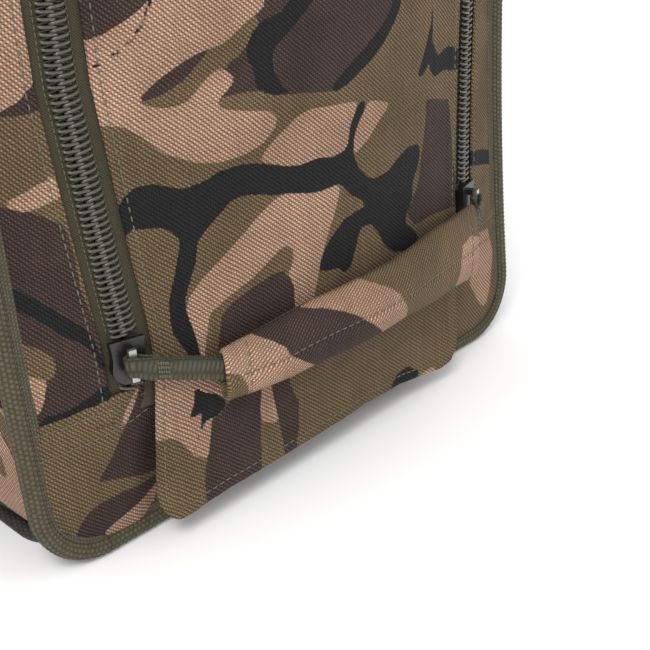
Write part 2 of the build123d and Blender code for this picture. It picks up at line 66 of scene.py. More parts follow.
def surf(s, z, d=0.0):
    """A point d outside the bulged front, s along its arc from the middle, at height z."""
    s, z, d = np.broadcast_arrays(np.asarray(s, float), np.asarray(z, float), np.asarray(d, float))
    a = s / R
    return np.stack([(R + d) * np.sin(a), -116.0 + R - (R + d) * np.cos(a) + prof(z), z], -1)


def normal(s, z):
    s, z = np.broadcast_arrays(np.asarray(s, float), np.asarray(z, float))
    a = s / R
    slope = (prof(z + 0.5) - prof(z - 0.5))
    n = np.stack([np.sin(a), -np.cos(a), slope], -1)
    return n / np.linalg.norm(n, axis=-1, keepdims=True)


def smooth(x, a, b):
    t = np.clip((np.asarray(x, float) - a) / (b - a), 0, 1)
    return t * t * (3 - 2 * t)


def zip_s(z):
    """Arc distance from the middle to a front zip's centre: it splays a little up the door and comes back at the top."""
    z = np.asarray(z, float)
    rise = 0.0956 * (np.clip(z, 92, 190) - 94)
    return 102.4 + rise * (1 - smooth(z, 215, 350))


def half_w(z, hw=143.8, z0=4.4, z1=412.3, rb=27.0, rt=44.0):
    """Half width of an upright rounded rectangle at height z."""
    z = np.asarray(z, float)
    lo = np.clip(rb - (z - z0), 0, rb)
    hi = np.clip(rt - (z1 - z), 0, rt)
    return hw - (rb - np.sqrt(np.maximum(rb * rb - lo * lo, 0))) - (rt - np.sqrt(np.maximum(rt * rt - hi * hi, 0)))


def plane_y(z):
    return -116.0 + R - math.sqrt(R * R - 139.6 ** 2) + prof(z)


def arc_s(x):
    return R * np.arcsin(np.asarray(x, float) / R)


# ------------------------------------------------------------------ smooth repeatable noise
def hash3(i, j, k, seed):
    n = (i * 374761393 + j * 668265263 + k * 2147483647 + seed * 974711) & 0xFFFFFFFF
    n = ((n ^ (n >> 13)) * 1274126177) & 0xFFFFFFFF
    n = (n ^ (n >> 16)) & 0xFFFFFFFF
    return n / 4294967295.0


def noise(P, scale, seed=0):
    """Value noise in -1..1 at points P (n,3), cells of the given size."""
    q = np.asarray(P, float) / scale
    f = np.floor(q)
    t = q - f
    t = t * t * t * (t * (t * 6 - 15) + 10)
    i = f.astype(np.int64)
    out = 0
    for a in (0, 1):
        for b in (0, 1):
            for c in (0, 1):
                w = (t[..., 0] if a else 1 - t[..., 0]) * (t[..., 1] if b else 1 - t[..., 1]) * (t[..., 2] if c else 1 - t[..., 2])
                out = out + w * hash3(i[..., 0] + a, i[..., 1] + b, i[..., 2] + c, seed)
    return out * 2 - 1


# ------------------------------------------------------------------ the printed pattern
def poly_sdf(s, z, pts):
    """Signed distance to a closed outline, negative inside."""
    p = np.stack([s, z], -1)
    v = np.asarray(pts, float)
    d = np.full(s.shape, 1e9)
    inside = np.zeros(s.shape, bool)
    n = len(v)
    for i in range(n):
        a, b = v[i], v[(i + 1) % n]
        e = b - a
        w = p - a
        t = np.clip((w @ e) / max(e @ e, 1e-9), 0, 1)
        q = w - t[..., None] * e
        d = np.minimum(d, np.sqrt((q * q).sum(-1)))
        if abs(b[1] - a[1]) > 1e-9:
            cond = (a[1] > z) != (b[1] > z)
            xs = (b[0] - a[0]) * (z - a[1]) / (b[1] - a[1]) + a[0]
            inside ^= cond & (s < xs)
    return np.where(inside, -d, d)


# Outlines of the print on the front, in mm: arc distance from the middle, height.
DOOR = [
    ('tan', [(-100.9, 185.1), (-100.2, 175.2), (-96.4, 174.6), (-91.7, 173.1), (-85.8, 169.0), (-81.9, 164.9), (-77.9, 160.9), (-71.5, 157.3), (-64.9, 154.0), (-55.4, 151.8), (-45.4, 151.9), (-40.6, 152.6), (-33.8, 154.6), (-27.9, 159.6), (-26.5, 165.7), (-26.1, 169.6)]),
    ('tan', [(-13.6, 162.6), (-18.1, 160.0), (-26.3, 155.9), (-32.3, 152.4), (-36.6, 148.8), (-34.5, 146.5), (-24.4, 142.4), (-16.7, 140.8), (-8.4, 141.2), (0.7, 139.4), (7.0, 139.8), (10.0, 141.9), (11.9, 149.2), (15.9, 154.9), (18.0, 158.6), (-10.5, 165.9)]),
    ('tan', [(21.4, 153.5), (17.0, 148.8), (13.7, 143.3), (12.9, 137.1), (14.7, 137.0), (22.4, 140.3), (30.7, 146.4), (35.8, 149.5), (39.2, 152.9), (23.7, 157.1)]),
    ('tan', [(-30.6, 131.0), (-25.2, 131.4), (-18.2, 129.6), (-8.1, 127.7), (2.5, 126.9), (3.7, 124.8), (2.7, 121.6), (-1.5, 113.3), (-6.5, 104.6), (-9.9, 98.0), (-12.8, 89.7), (-15.6, 82.5), (-19.0, 77.4), (-26.2, 78.2), (-25.4, 88.0), (-26.2, 94.3), (-27.6, 97.8), (-24.6, 102.8), (-24.1, 107.2), (-26.9, 110.0), (-30.5, 109.7), (-38.5, 105.3), (-45.7, 101.7), (-56.0, 98.1), (-63.8, 94.6), (-66.7, 92.6), (-68.0, 87.1), (-69.6, 82.6), (-71.3, 74.2), (-72.5, 69.3), (-72.8, 74.7), (-72.9, 81.2), (-74.3, 89.1), (-76.2, 97.0), (-74.5, 102.2), (-67.7, 108.3), (-57.1, 114.8), (-47.9, 120.8), (-39.0, 126.7)]),
    ('brown', [(-35.6, 100.4), (-30.3, 100.2), (-26.7, 95.5), (-25.3, 91.5), (-26.0, 82.6), (-26.3, 71.9), (-45.5, 68.8), (-62.9, 68.7), (-64.8, 76.1), (-63.3, 83.1), (-61.2, 90.8), (-56.4, 94.3), (-47.9, 97.5), (-41.5, 98.9)]),
    ('brown', [(66.7, 145.2), (87.5, 139.0), (89.8, 118.7), (94.2, 86.5), (67.7, 91.0), (52.8, 91.7), (47.1, 99.4), (52.2, 104.2), (58.7, 111.2), (62.0, 123.0), (65.3, 133.4)]),
    ('black', [(-100.6, 143.0), (-97.7, 144.1), (-94.6, 148.0), (-90.3, 150.5), (-83.7, 150.3), (-77.7, 148.0), (-71.9, 145.7), (-66.8, 145.8), (-60.9, 146.6), (-55.8, 148.4), (-48.2, 148.7), (-40.5, 148.0), (-34.6, 146.2), (-24.5, 142.3), (-16.7, 140.8), (-8.4, 141.1), (0.7, 139.2), (7.0, 139.7), (10.0, 141.8), (11.9, 149.2), (15.9, 154.9), (18.0, 158.6), (23.1, 157.3), (21.0, 153.6), (16.6, 148.9), (13.6, 143.4), (12.8, 136.6), (16.3, 129.5), (21.3, 124.4), (27.4, 122.2), (35.7, 122.9), (42.9, 126.4), (51.2, 128.5), (57.8, 127.8), (60.6, 125.0), (59.2, 119.4), (52.7, 110.5), (52.2, 104.2), (47.1, 99.4), (45.8, 95.5), (52.9, 88.5), (56.4, 84.9), (52.4, 83.1), (44.6, 82.7), (36.8, 84.9), (30.4, 90.2), (25.4, 98.5), (21.0, 103.7), (16.4, 104.2), (13.2, 101.6), (11.1, 96.0), (7.5, 89.9), (3.6, 87.5), (-0.3, 91.1), (-7.1, 92.4), (-11.0, 93.8), (-9.9, 98.0), (-6.7, 102.6), (-0.8, 107.4), (5.3, 111.0), (12.6, 112.2), (18.7, 112.3), (16.0, 116.3), (9.7, 120.4), (5.1, 125.4), (2.5, 127.2), (-3.7, 127.0), (-9.6, 127.1), (-19.5, 129.8), (-25.5, 131.7), (-31.3, 132.4), (-42.4, 135.7), (-47.0, 136.3), (-51.5, 135.8), (-57.1, 131.8), (-63.9, 127.1), (-67.8, 123.5), (-69.2, 116.4), (-73.9, 106.8), (-76.1, 101.8), (-76.2, 97.0), (-74.3, 89.1), (-72.9, 81.2), (-72.8, 74.7), (-72.8, 66.8), (-77.5, 68.3), (-77.2, 76.1), (-78.9, 81.7), (-82.8, 89.2), (-83.4, 96.7), (-82.7, 103.7), (-78.9, 113.4), (-76.5, 120.8), (-75.3, 126.0), (-78.1, 130.4), (-81.6, 132.7), (-88.1, 134.0), (-93.3, 134.8), (-96.7, 132.7), (-99.5, 131.8)]),
    ('tan', [(-94.0, 78.8), (-98.9, 48.0), (-94.4, 47.0), (-90.7, 46.8), (-87.1, 44.5), (-83.4, 39.0), (-82.1, 35.9), (-76.1, 32.4), (-73.8, 39.8), (-71.7, 48.9), (-64.7, 52.8), (-63.3, 62.6)]),
    ('brown', [(-71.7, 48.9), (-68.1, 49.2), (-64.4, 52.5), (-57.1, 55.9), (-46.1, 56.4), (-47.2, 50.9), (-48.7, 44.6), (-49.3, 38.4), (-50.9, 22.3), (-51.8, 16.6), (-68.3, 12.9), (-79.8, 9.8), (-79.1, 20.5), (-77.9, 28.0), (-75.9, 33.1), (-73.8, 39.8)]),
    ('tan', [(-45.9, 56.3), (-42.0, 56.7), (-40.7, 43.1), (-39.9, 36.3), (-41.2, 35.2), (-48.4, 38.6), (-48.7, 44.6)]),
    ('brown', [(-42.2, 55.8), (-32.4, 54.9), (-31.4, 48.0), (-28.1, 40.2), (-29.1, 28.7), (-31.4, 21.8), (-30.9, 14.9), (-38.7, 14.9), (-39.0, 19.5), (-38.9, 26.1), (-39.9, 36.3), (-40.7, 43.1)]),
    ('black', [(-77.0, 65.1), (-73.2, 61.1), (-68.8, 59.3), (-64.6, 55.2), (-64.4, 52.5), (-68.1, 49.2), (-71.9, 49.0), (-75.1, 48.6), (-77.2, 45.2), (-80.1, 39.9), (-82.1, 35.9), (-81.1, 38.7), (-77.7, 45.3), (-76.2, 50.0), (-75.9, 53.5), (-78.2, 52.2), (-80.7, 52.4), (-80.8, 53.7), (-78.4, 57.5), (-77.8, 61.4)]),
    ('black', [(30.8, 20.4), (36.3, 26.0), (44.4, 26.3), (53.9, 19.9), (49.7, 15.6), (39.7, 16.2)]),
    ('tan', [(53.5, 17.5), (64.6, 16.9), (68.6, 10.8), (58.1, 11.6)]),
]
SIDE = [
    ('tan', [(-140.0, 154.1), (-136.5, 154.9), (-129.7, 156.9), (-124.2, 159.4), (-122.1, 159.6), (-120.9, 161.3), (-119.8, 161.5), (-118.7, 159.8), (-118.1, 156.1), (-117.9, 152.8), (-120.5, 152.2), (-121.9, 151.8), (-129.1, 149.9), (-132.5, 150.4), (-136.2, 152.4)]),
    ('brown', [(-140.7, 154.1), (-136.2, 152.4), (-132.5, 150.4), (-129.3, 149.7), (-122.9, 145.8), (-119.7, 143.6), (-117.4, 139.8), (-117.1, 137.1), (-116.2, 130.4), (-116.0, 117.7), (-113.8, 107.0), (-112.1, 100.6), (-110.7, 93.2), (-110.3, 78.5), (-108.0, 73.0), (-115.9, 69.0), (-124.3, 64.5), (-138.5, 64.1), (-156.0, 68.5)]),
    ('black', [(-145.1, 126.0), (-138.0, 121.8), (-132.6, 117.0), (-127.2, 112.1), (-121.7, 106.3), (-117.1, 102.3), (-114.4, 97.4), (-112.8, 90.8), (-111.1, 83.6), (-113.8, 84.4), (-115.4, 91.5), (-119.0, 96.2), (-124.9, 100.1), (-131.0, 106.6), (-137.5, 112.7), (-146.6, 117.3)]),
    ('olive', [(-146.0, 103.1), (-139.6, 100.8), (-134.6, 97.8), (-130.7, 93.6), (-129.3, 89.0), (-130.8, 85.5), (-133.2, 84.2), (-137.9, 86.4), (-142.8, 89.9), (-144.6, 95.6), (-146.7, 99.3)]),
    ('tan', [(-143.9, 90.6), (-137.9, 86.4), (-133.2, 84.2), (-135.0, 80.9), (-136.3, 76.0), (-138.7, 72.3), (-142.2, 69.9), (-143.5, 74.7), (-144.1, 83.2)]),
    ('black', [(-141.9, 65.1), (-137.3, 69.8), (-129.7, 69.9), (-121.1, 73.0), (-114.7, 76.3), (-109.8, 77.0), (-104.3, 75.9), (-104.3, 70.7), (-122.7, 65.8), (-138.1, 63.2)]),
]
BAND = [
    ('tan', [(-98.7, 72.9), (-102.4, 65.8), (-107.6, 57.0), (-109.3, 57.9), (-106.6, 64.5), (-102.5, 69.3), (-100.3, 73.0)]),
    ('brown', [(-98.3, 72.4), (-88.7, 72.0), (-94.4, 28.4), (-106.9, 32.7), (-119.6, 35.9), (-122.5, 35.5), (-116.0, 43.7), (-108.2, 56.7), (-102.3, 65.8)]),
    ('olive', [(-119.6, 35.9), (-106.9, 32.7), (-108.4, 24.1), (-116.1, 25.3), (-123.5, 25.5), (-124.1, 30.7)]),
    ('brown', [(-129.0, 23.2), (-123.4, 25.9), (-112.3, 27.4), (-94.7, 26.6), (-96.3, 17.5), (-103.9, 18.4), (-122.4, 8.1), (-138.0, 11.9)]),
    ('tan', [(-121.7, 11.6), (-95.4, 22.3), (-98.2, 6.5), (-123.8, 1.6)]),
]
HAND = [
    ('olive', [(-1.4, 91.0), (3.9, 87.6), (12.1, 82.7), (19.1, 76.8), (24.3, 68.1), (25.8, 62.3), (20.4, 57.4), (13.1, 57.2), (17.4, 48.2), (91.8, 35.4), (104.4, 88.7), (58.4, 101.3), (4.3, 95.2), (-6.8, 94.8)]),
    ('tan', [(70.0, 78.2), (79.9, 79.1), (95.7, 71.6), (95.6, 46.7), (65.6, 59.9), (70.4, 71.2)]),
    ('brown', [(-55.5, 85.2), (-50.1, 86.6), (-43.7, 88.7), (-34.4, 89.4), (-22.9, 86.3), (-13.2, 81.3), (-5.8, 76.5), (2.9, 68.9), (13.6, 58.4), (5.3, 56.3), (-5.1, 55.9), (-15.9, 57.1), (-25.6, 60.1), (-34.0, 66.4), (-40.9, 71.9), (-43.7, 76.9), (-48.0, 80.7)]),
    ('olive', [(-69.8, 73.4), (-62.4, 70.2), (-59.7, 64.4), (-59.0, 57.4), (-71.5, 61.1)]),
]
SIDE_RIGHT = [('black', [(112.4, 106.3), (131.5, 100.6), (168.5, 85.1), (167.5, 78.0), (134.3, 91.9), (111.9, 99.0)])]
BAND_RIGHT = [('tan', [(118.4, 62.3), (132, 59.5), (139, 45), (136, 28), (131, 17), (126.1, 19.7), (112.0, 37.0), (105.8, 51.9)])]


def free_camo(P, seed=0):
    """The same print elsewhere: long slanting patches of tan, brown and black on olive. Signed distances in mm."""
    Q = np.asarray(P, float).copy()
    w = np.stack([noise(Q, 46, seed + 11), noise(Q, 46, seed + 12), noise(Q, 46, seed + 13)], -1)
    Q = Q + w * 15
    X = Q[..., 0] + Q[..., 1]
    Z = Q[..., 2]
    u = 0.80 * X + 0.60 * Z
    v = -0.60 * X + 0.80 * Z
    W = np.stack([u / 2.1, v, 0 * u], -1)
    t = noise(W, 30, seed + 1) + 0.35 * noise(W, 12, seed + 2)
    b = noise(W + 500, 34, seed + 3) + 0.35 * noise(W, 13, seed + 4)
    k = np.abs(noise(W + 900, 40, seed + 5) + 0.22 * noise(W, 14, seed + 6)) - 0.02
    kk = noise(W + 1500, 60, seed + 7)
    return {"tan": (0.30 - t) * 20, "brown": (0.24 - b) * 20, "black": (k - 0.20 * np.clip(kk + 0.45, 0, 1)) * 26}


def blend_fields(P, groups, weight, seed=0):
    """Drawn outlines where weight is 1, the free print where it is 0."""
    f = free_camo(P, seed)
    for k in ("tan", "brown", "black"):
        f[k] = f[k] * (1 - weight) + np.clip(groups[k], -9, 9) * weight
    return f


def drawn(s, z, shapes):
    """Fields of outlines laid one over the other: a later one covers what is under it, and black only lies on top."""
    g = {k: np.full(np.shape(s), 60.0) for k in ("tan", "brown", "black")}
    for kind, pts in shapes:
        d = poly_sdf(s, z, pts)
        for k in g:
            if k == kind:
                g[k] = np.minimum(g[k], d)
            elif kind != "black":
                g[k] = np.maximum(g[k], -d)
    return g


# ------------------------------------------------------------------ meshes
def make(name, V, F, mat, body=None, attrs=None, flat=False, recalc=True):
    """A mesh object from millimetre points and faces, riding a body."""
    me = bpy.data.meshes.new(name)
    V = np.asarray(V, float).reshape(-1, 3) / 1000.0
    me.from_pydata(V.tolist(), [], F.tolist() if isinstance(F, np.ndarray) else F)
    if recalc:
        bm = bmesh.new()
        bm.from_mesh(me)
        bmesh.ops.recalc_face_normals(bm, faces=bm.faces)
        bm.to_mesh(me)
        bm.free()
    me.polygons.foreach_set("use_smooth", [not flat] * len(me.polygons))
    for k, a in (attrs or {}).items():
        a = np.asarray(a, np.float32)
        if a.ndim == 2:
            at = me.attributes.new(k, "FLOAT_VECTOR", "POINT")
            at.data.foreach_set("vector", np.ascontiguousarray(a).ravel())
        else:
            at = me.attributes.new(k, "FLOAT", "POINT")
            at.data.foreach_set("value", np.ascontiguousarray(a).ravel())
    me.update()
    o = bpy.data.objects.new(name, me)
    bpy.context.scene.collection.objects.link(o)
    if mat is not None:
        me.materials.append(mat)
    if body:
        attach(o, body)
    return o


def quads(nu, nv, wrap_u=False, wrap_v=False, base=0):
    idx = np.arange(nu * nv).reshape(nu, nv) + base
    if wrap_u:
        idx = np.vstack([idx, idx[:1]])
    if wrap_v:
        idx = np.hstack([idx, idx[:, :1]])
    return np.stack([idx[:-1, :-1], idx[1:, :-1], idx[1:, 1:], idx[:-1, 1:]], -1).reshape(-1, 4)


def two_sided(A, B, wrap_u=False, wrap_v=False):
    """Faces and points of a closed sheet between outer grid A and inner grid B."""
    nu, nv = A.shape[:2]
    n = nu * nv
    F = [quads(nu, nv, wrap_u, wrap_v), quads(nu, nv, wrap_u, wrap_v, n)[:, ::-1]]
    idx = np.arange(n).reshape(nu, nv)

    def side(line, closed):
        l = np.append(line, line[0]) if closed else line
        F.append(np.stack([l[:-1], l[1:], l[1:] + n, l[:-1] + n], -1))
    if not wrap_u:
        side(idx[0, :], wrap_v)
        side(idx[-1, :][::-1], wrap_v)
    if not wrap_v:
        side(idx[:, 0][::-1], wrap_u)
        side(idx[:, -1], wrap_u)
    return np.concatenate([A.reshape(-1, 3), B.reshape(-1, 3)]), np.concatenate(F)


def arclen(P, closed=False):
    Q = np.vstack([P, P[:1]]) if closed else P
    L = np.concatenate([[0], np.cumsum(np.linalg.norm(np.diff(Q, axis=0), axis=1))])
    return L


def resample(P, step, closed=False):
    P = np.asarray(P, float)
    Q = np.vstack([P, P[:1]]) if closed else P
    L = arclen(P, closed)
    n = max(2, int(round(L[-1] / step)))
    t = np.linspace(0, L[-1], n + 1)
    out = np.stack([np.interp(t, L, Q[:, k]) for k in range(3)], -1)
    return out[:-1] if closed else out


def frames(P, N, closed=False):
    """Tangent, normal (made square to the tangent) and binormal along a line."""
    if closed:
        T = np.roll(P, -1, 0) - np.roll(P, 1, 0)
    else:
        T = np.gradient(P, axis=0)
    T = T / np.linalg.norm(T, axis=1, keepdims=True)
    N = np.broadcast_to(np.asarray(N, float), P.shape)
    N = N - (N * T).sum(1, keepdims=True) * T
    N = N / np.linalg.norm(N, axis=1, keepdims=True)
    return T, N, np.cross(T, N)


def sweep(P, N, section, closed=False, scale=None, cap=True):
    """Section points (m,2) as (across, out) swept along P. Returns points, faces, cloth coordinates."""
    T, Nn, B = frames(P, N, closed)
    n, m = len(P), len(section)
    sec = np.asarray(section, float)
    if sec.ndim == 2:
        sec = np.broadcast_to(sec, (n, m, 2))
    else:
        m = sec.shape[1]
    if scale is not None:
        sec = sec * np.asarray(scale)[:, None, None]
    V = P[:, None, :] + sec[..., :1] * B[:, None, :] + sec[..., 1:] * Nn[:, None, :]
    F = quads(n, m, closed, True)
    L = arclen(P, closed)[:n]
    per = np.concatenate([[0], np.cumsum(np.linalg.norm(np.diff(np.vstack([sec[0], sec[0][:1]]), axis=0), axis=1))])[:m]
    cloth = np.stack([np.broadcast_to(L[:, None], (n, m)), np.broadcast_to(per[None, :], (n, m)), np.zeros((n, m))], -1).reshape(-1, 3) / 1000
    V = V.reshape(-1, 3)
    F = F.tolist()
    if cap and not closed:
        F.append(list(range(m))[::-1])
        F.append(list(range((n - 1) * m, n * m)))
    return V, F, cloth


def band_section(w, t, n=7, crown=0.0):
    """Flat webbing: a thin rectangle with rounded edges."""
    x = np.linspace(-w / 2 + t / 2, w / 2 - t / 2, n)
    top = [(a, t / 2 + crown * (1 - (2 * a / w) ** 2)) for a in x]
    a = np.linspace(PI / 2, -PI / 2, 5)[1:-1]
    right = [(w / 2 - t / 2 + t / 2 * math.cos(b), t / 2 * math.sin(b)) for b in a]
    bot = [(b, -t / 2 + crown * (1 - (2 * b / w) ** 2)) for b in x[::-1]]
    left = [(-(w / 2 - t / 2) - t / 2 * math.cos(b), t / 2 * math.sin(b)) for b in a[::-1]]
    return np.array(top + right + bot + left)


def oval(w, t, n=24, p=2.6):
    a = np.linspace(0, 2 * PI, n, endpoint=False)
    c, s = np.cos(a), np.sin(a)
    return np.stack([w / 2 * np.sign(c) * np.abs(c) ** (2 / p), t / 2 * np.sign(s) * np.abs(s) ** (2 / p)], -1)


def join(parts):
    """Several (V, F, cloth) as one."""
    V, F, C, k = [], [], [], 0
    for v, f, c in parts:
        V.append(v)
        C.append(c)
        F += [[i + k for i in q] for q in (f.tolist() if isinstance(f, np.ndarray) else f)]
        k += len(v)
    return np.concatenate(V), F, np.concatenate(C)


def stitch_mesh(P, N, pitch=3.7, length=3.0, r=0.30, lift=0.26, closed=False):
    """A row of separate thread stitches laid along a line, each arching out of the cloth."""
    P = np.asarray(P, float)
    N = np.broadcast_to(np.asarray(N, float), P.shape)
    Q = np.vstack([P, P[:1]]) if closed else P
    M = np.vstack([N, N[:1]]) if closed else N
    L = arclen(P, closed)
    total = L[-1]
    n = max(1, int(total / pitch))
    pitch = total / n
    k = 6
    ts = (np.arange(n)[:, None] + 0.5) * pitch + (np.linspace(-0.5, 0.5, k)[None, :]) * min(length, pitch * 0.86)
    C = np.stack([np.interp(ts, L, Q[:, a]) for a in range(3)], -1)
    Nn = np.stack([np.interp(ts, L, M[:, a]) for a in range(3)], -1)
    Nn /= np.linalg.norm(Nn, axis=-1, keepdims=True)
    T = np.gradient(C, axis=1)
    T /= np.linalg.norm(T, axis=-1, keepdims=True)
    B = np.cross(T, Nn)
    h = lift * np.array([-1.3, 0.35, 0.9, 0.9, 0.35, -1.3])
    rr = r * np.array([0.6, 0.95, 1.0, 1.0, 0.95, 0.6])
    m = 6
    a = np.linspace(0, 2 * PI, m, endpoint=False)
    V = (C + Nn * h[None, :, None])[:, :, None, :] + rr[None, :, None, None] * (
        np.cos(a)[None, None, :, None] * B[:, :, None, :] + np.sin(a)[None, None, :, None] * Nn[:, :, None, :])
    V = V.reshape(n, -1, 3)
    q = quads(k, m, False, True)
    F = (q[None] + (np.arange(n) * k * m)[:, None, None]).reshape(-1, 4).tolist()
    for i in range(n):
        b = i * k * m
        F.append([b + j for j in range(m)][::-1])
        F.append([b + (k - 1) * m + j for j in range(m)])
    cl = np.stack([np.broadcast_to(ts[:, :, None], (n, k, m)), np.broadcast_to(a[None, None] * r, (n, k, m)), np.zeros((n, k, m))], -1).reshape(-1, 3) / 1000
    return V.reshape(-1, 3), F, cl


# ------------------------------------------------------------------ materials
class Nodes:
    def __init__(self, name):
        self.mat = bpy.data.materials.new(name)
        self.mat.use_nodes = True
        self.t = self.mat.node_tree
        self.b = next(n for n in self.t.nodes if n.type == "BSDF_PRINCIPLED")

    def new(self, kind, **props):
        n = self.t.nodes.new(kind)
        for k, v in props.items():
            setattr(n, k, v)
        return n

    def put(self, sock, v):
        if isinstance(v, bpy.types.NodeSocket):
            self.t.links.new(v, sock)
        else:
            sock.default_value = v

    def m(self, op, a, b=None, c=None, clamp=False):
        n = self.new("ShaderNodeMath", operation=op, use_clamp=clamp)
        self.put(n.inputs[0], a)
        if b is not None:
            self.put(n.inputs[1], b)
        if c is not None:
            self.put(n.inputs[2], c)
        return n.outputs[0]

    def attr(self, name, vec=False):
        n = self.new("ShaderNodeAttribute", attribute_name=name)
        return n.outputs["Vector"] if vec else n.outputs["Fac"]

    def xyz(self, v):
        n = self.new("ShaderNodeSeparateXYZ")
        self.put(n.inputs[0], v)
        return n.outputs

    def vec(self, x, y, z=0.0):
        n = self.new("ShaderNodeCombineXYZ")
        for s, v in zip(n.inputs, (x, y, z)):
            self.put(s, v)
        return n.outputs[0]

    def noise(self, v, scale, detail=2.0, rough=0.5):
        n = self.new("ShaderNodeTexNoise")
        self.put(n.inputs["Vector"], v)
        self.put(n.inputs["Scale"], scale)
        self.put(n.inputs["Detail"], detail)
        self.put(n.inputs["Roughness"], rough)
        return n.outputs["Fac"]

    def white(self, v):
        n = self.new("ShaderNodeTexWhiteNoise", noise_dimensions="2D")
        self.put(n.inputs["Vector"], v)
        return n.outputs["Value"]

    def mix(self, f, a, b):
        n = self.new("ShaderNodeMix", data_type="RGBA")
        self.put(n.inputs[0], f)
        for s, v in ((n.inputs[6], a), (n.inputs[7], b)):
            if not isinstance(v, bpy.types.NodeSocket) and len(v) == 3:
                v = (*v, 1.0)
            self.put(s, v)
        return n.outputs[2]

    def gain(self, col, f):
        """Colour times a number."""
        n = self.new("ShaderNodeVectorMath", operation="SCALE")
        self.put(n.inputs[0], col if isinstance(col, bpy.types.NodeSocket) else tuple(col)[:3])
        self.put(n.inputs["Scale"], f)
        return n.outputs[0]

    def range(self, v, a, b, c=0.0, d=1.0, kind="LINEAR"):
        n = self.new("ShaderNodeMapRange", interpolation_type=kind)
        for s, x in zip(n.inputs[:5], (v, a, b, c, d)):
            self.put(s, x)
        return n.outputs[0]

    def bump(self, h, dist, strength=1.0, under=None):
        n = self.new("ShaderNodeBump")
        self.put(n.inputs["Height"], h)
        self.put(n.inputs["Distance"], dist)
        self.put(n.inputs["Strength"], strength)
        if under is not None:
            self.put(n.inputs["Normal"], under)
        return n.outputs[0]

    def set(self, name, v):
        self.put(self.b.inputs[name], v)

    def obj(self):
        return self.new("ShaderNodeTexCoord").outputs["Object"]


def plain_weave(k, u, v, pu, pv):
    """Plain weave height 0..1 and a per-yarn random shade, from cloth coordinates in metres."""
    U = k.m("DIVIDE", u, pu)
    Vv = k.m("DIVIDE", v, pv)
    iu, iv = k.m("FLOOR", U), k.m("FLOOR", Vv)
    fu = k.m("SUBTRACT", k.m("FRACT", U), 0.5)
    fv = k.m("SUBTRACT", k.m("FRACT", Vv), 0.5)
    fu2, fv2 = k.m("MULTIPLY", fu, fu), k.m("MULTIPLY", fv, fv)
    par = k.m("FLOORED_MODULO", k.m("ADD", iu, iv), 2.0)
    hw = k.m("MULTIPLY", k.m("MULTIPLY_ADD", fu2, -3.4, 1.0), k.m("MULTIPLY_ADD", fv2, -1.9, 1.0))
    hf = k.m("MULTIPLY", k.m("MULTIPLY_ADD", fv2, -3.4, 1.0), k.m("MULTIPLY_ADD", fu2, -1.9, 1.0))
    h = k.m("ADD", k.m("MULTIPLY", par, hw), k.m("MULTIPLY", k.m("SUBTRACT", 1.0, par), hf))
    rw = k.white(k.vec(iu, 3.0))
    rf = k.white(k.vec(iv, 7.0))
    r = k.m("ADD", k.m("MULTIPLY", par, rw), k.m("MULTIPLY", k.m("SUBTRACT", 1.0, par), rf))
    rc = k.white(k.vec(iu, iv))
    r = k.m("ADD", k.m("MULTIPLY", r, 0.6), k.m("MULTIPLY", rc, 0.4))
    return h, r, par


TAN, OLIVE, BROWN, BLACK = (0.38, 0.245, 0.160), (0.110, 0.077, 0.040), (0.045, 0.029, 0.024), (0.013, 0.013, 0.0135)


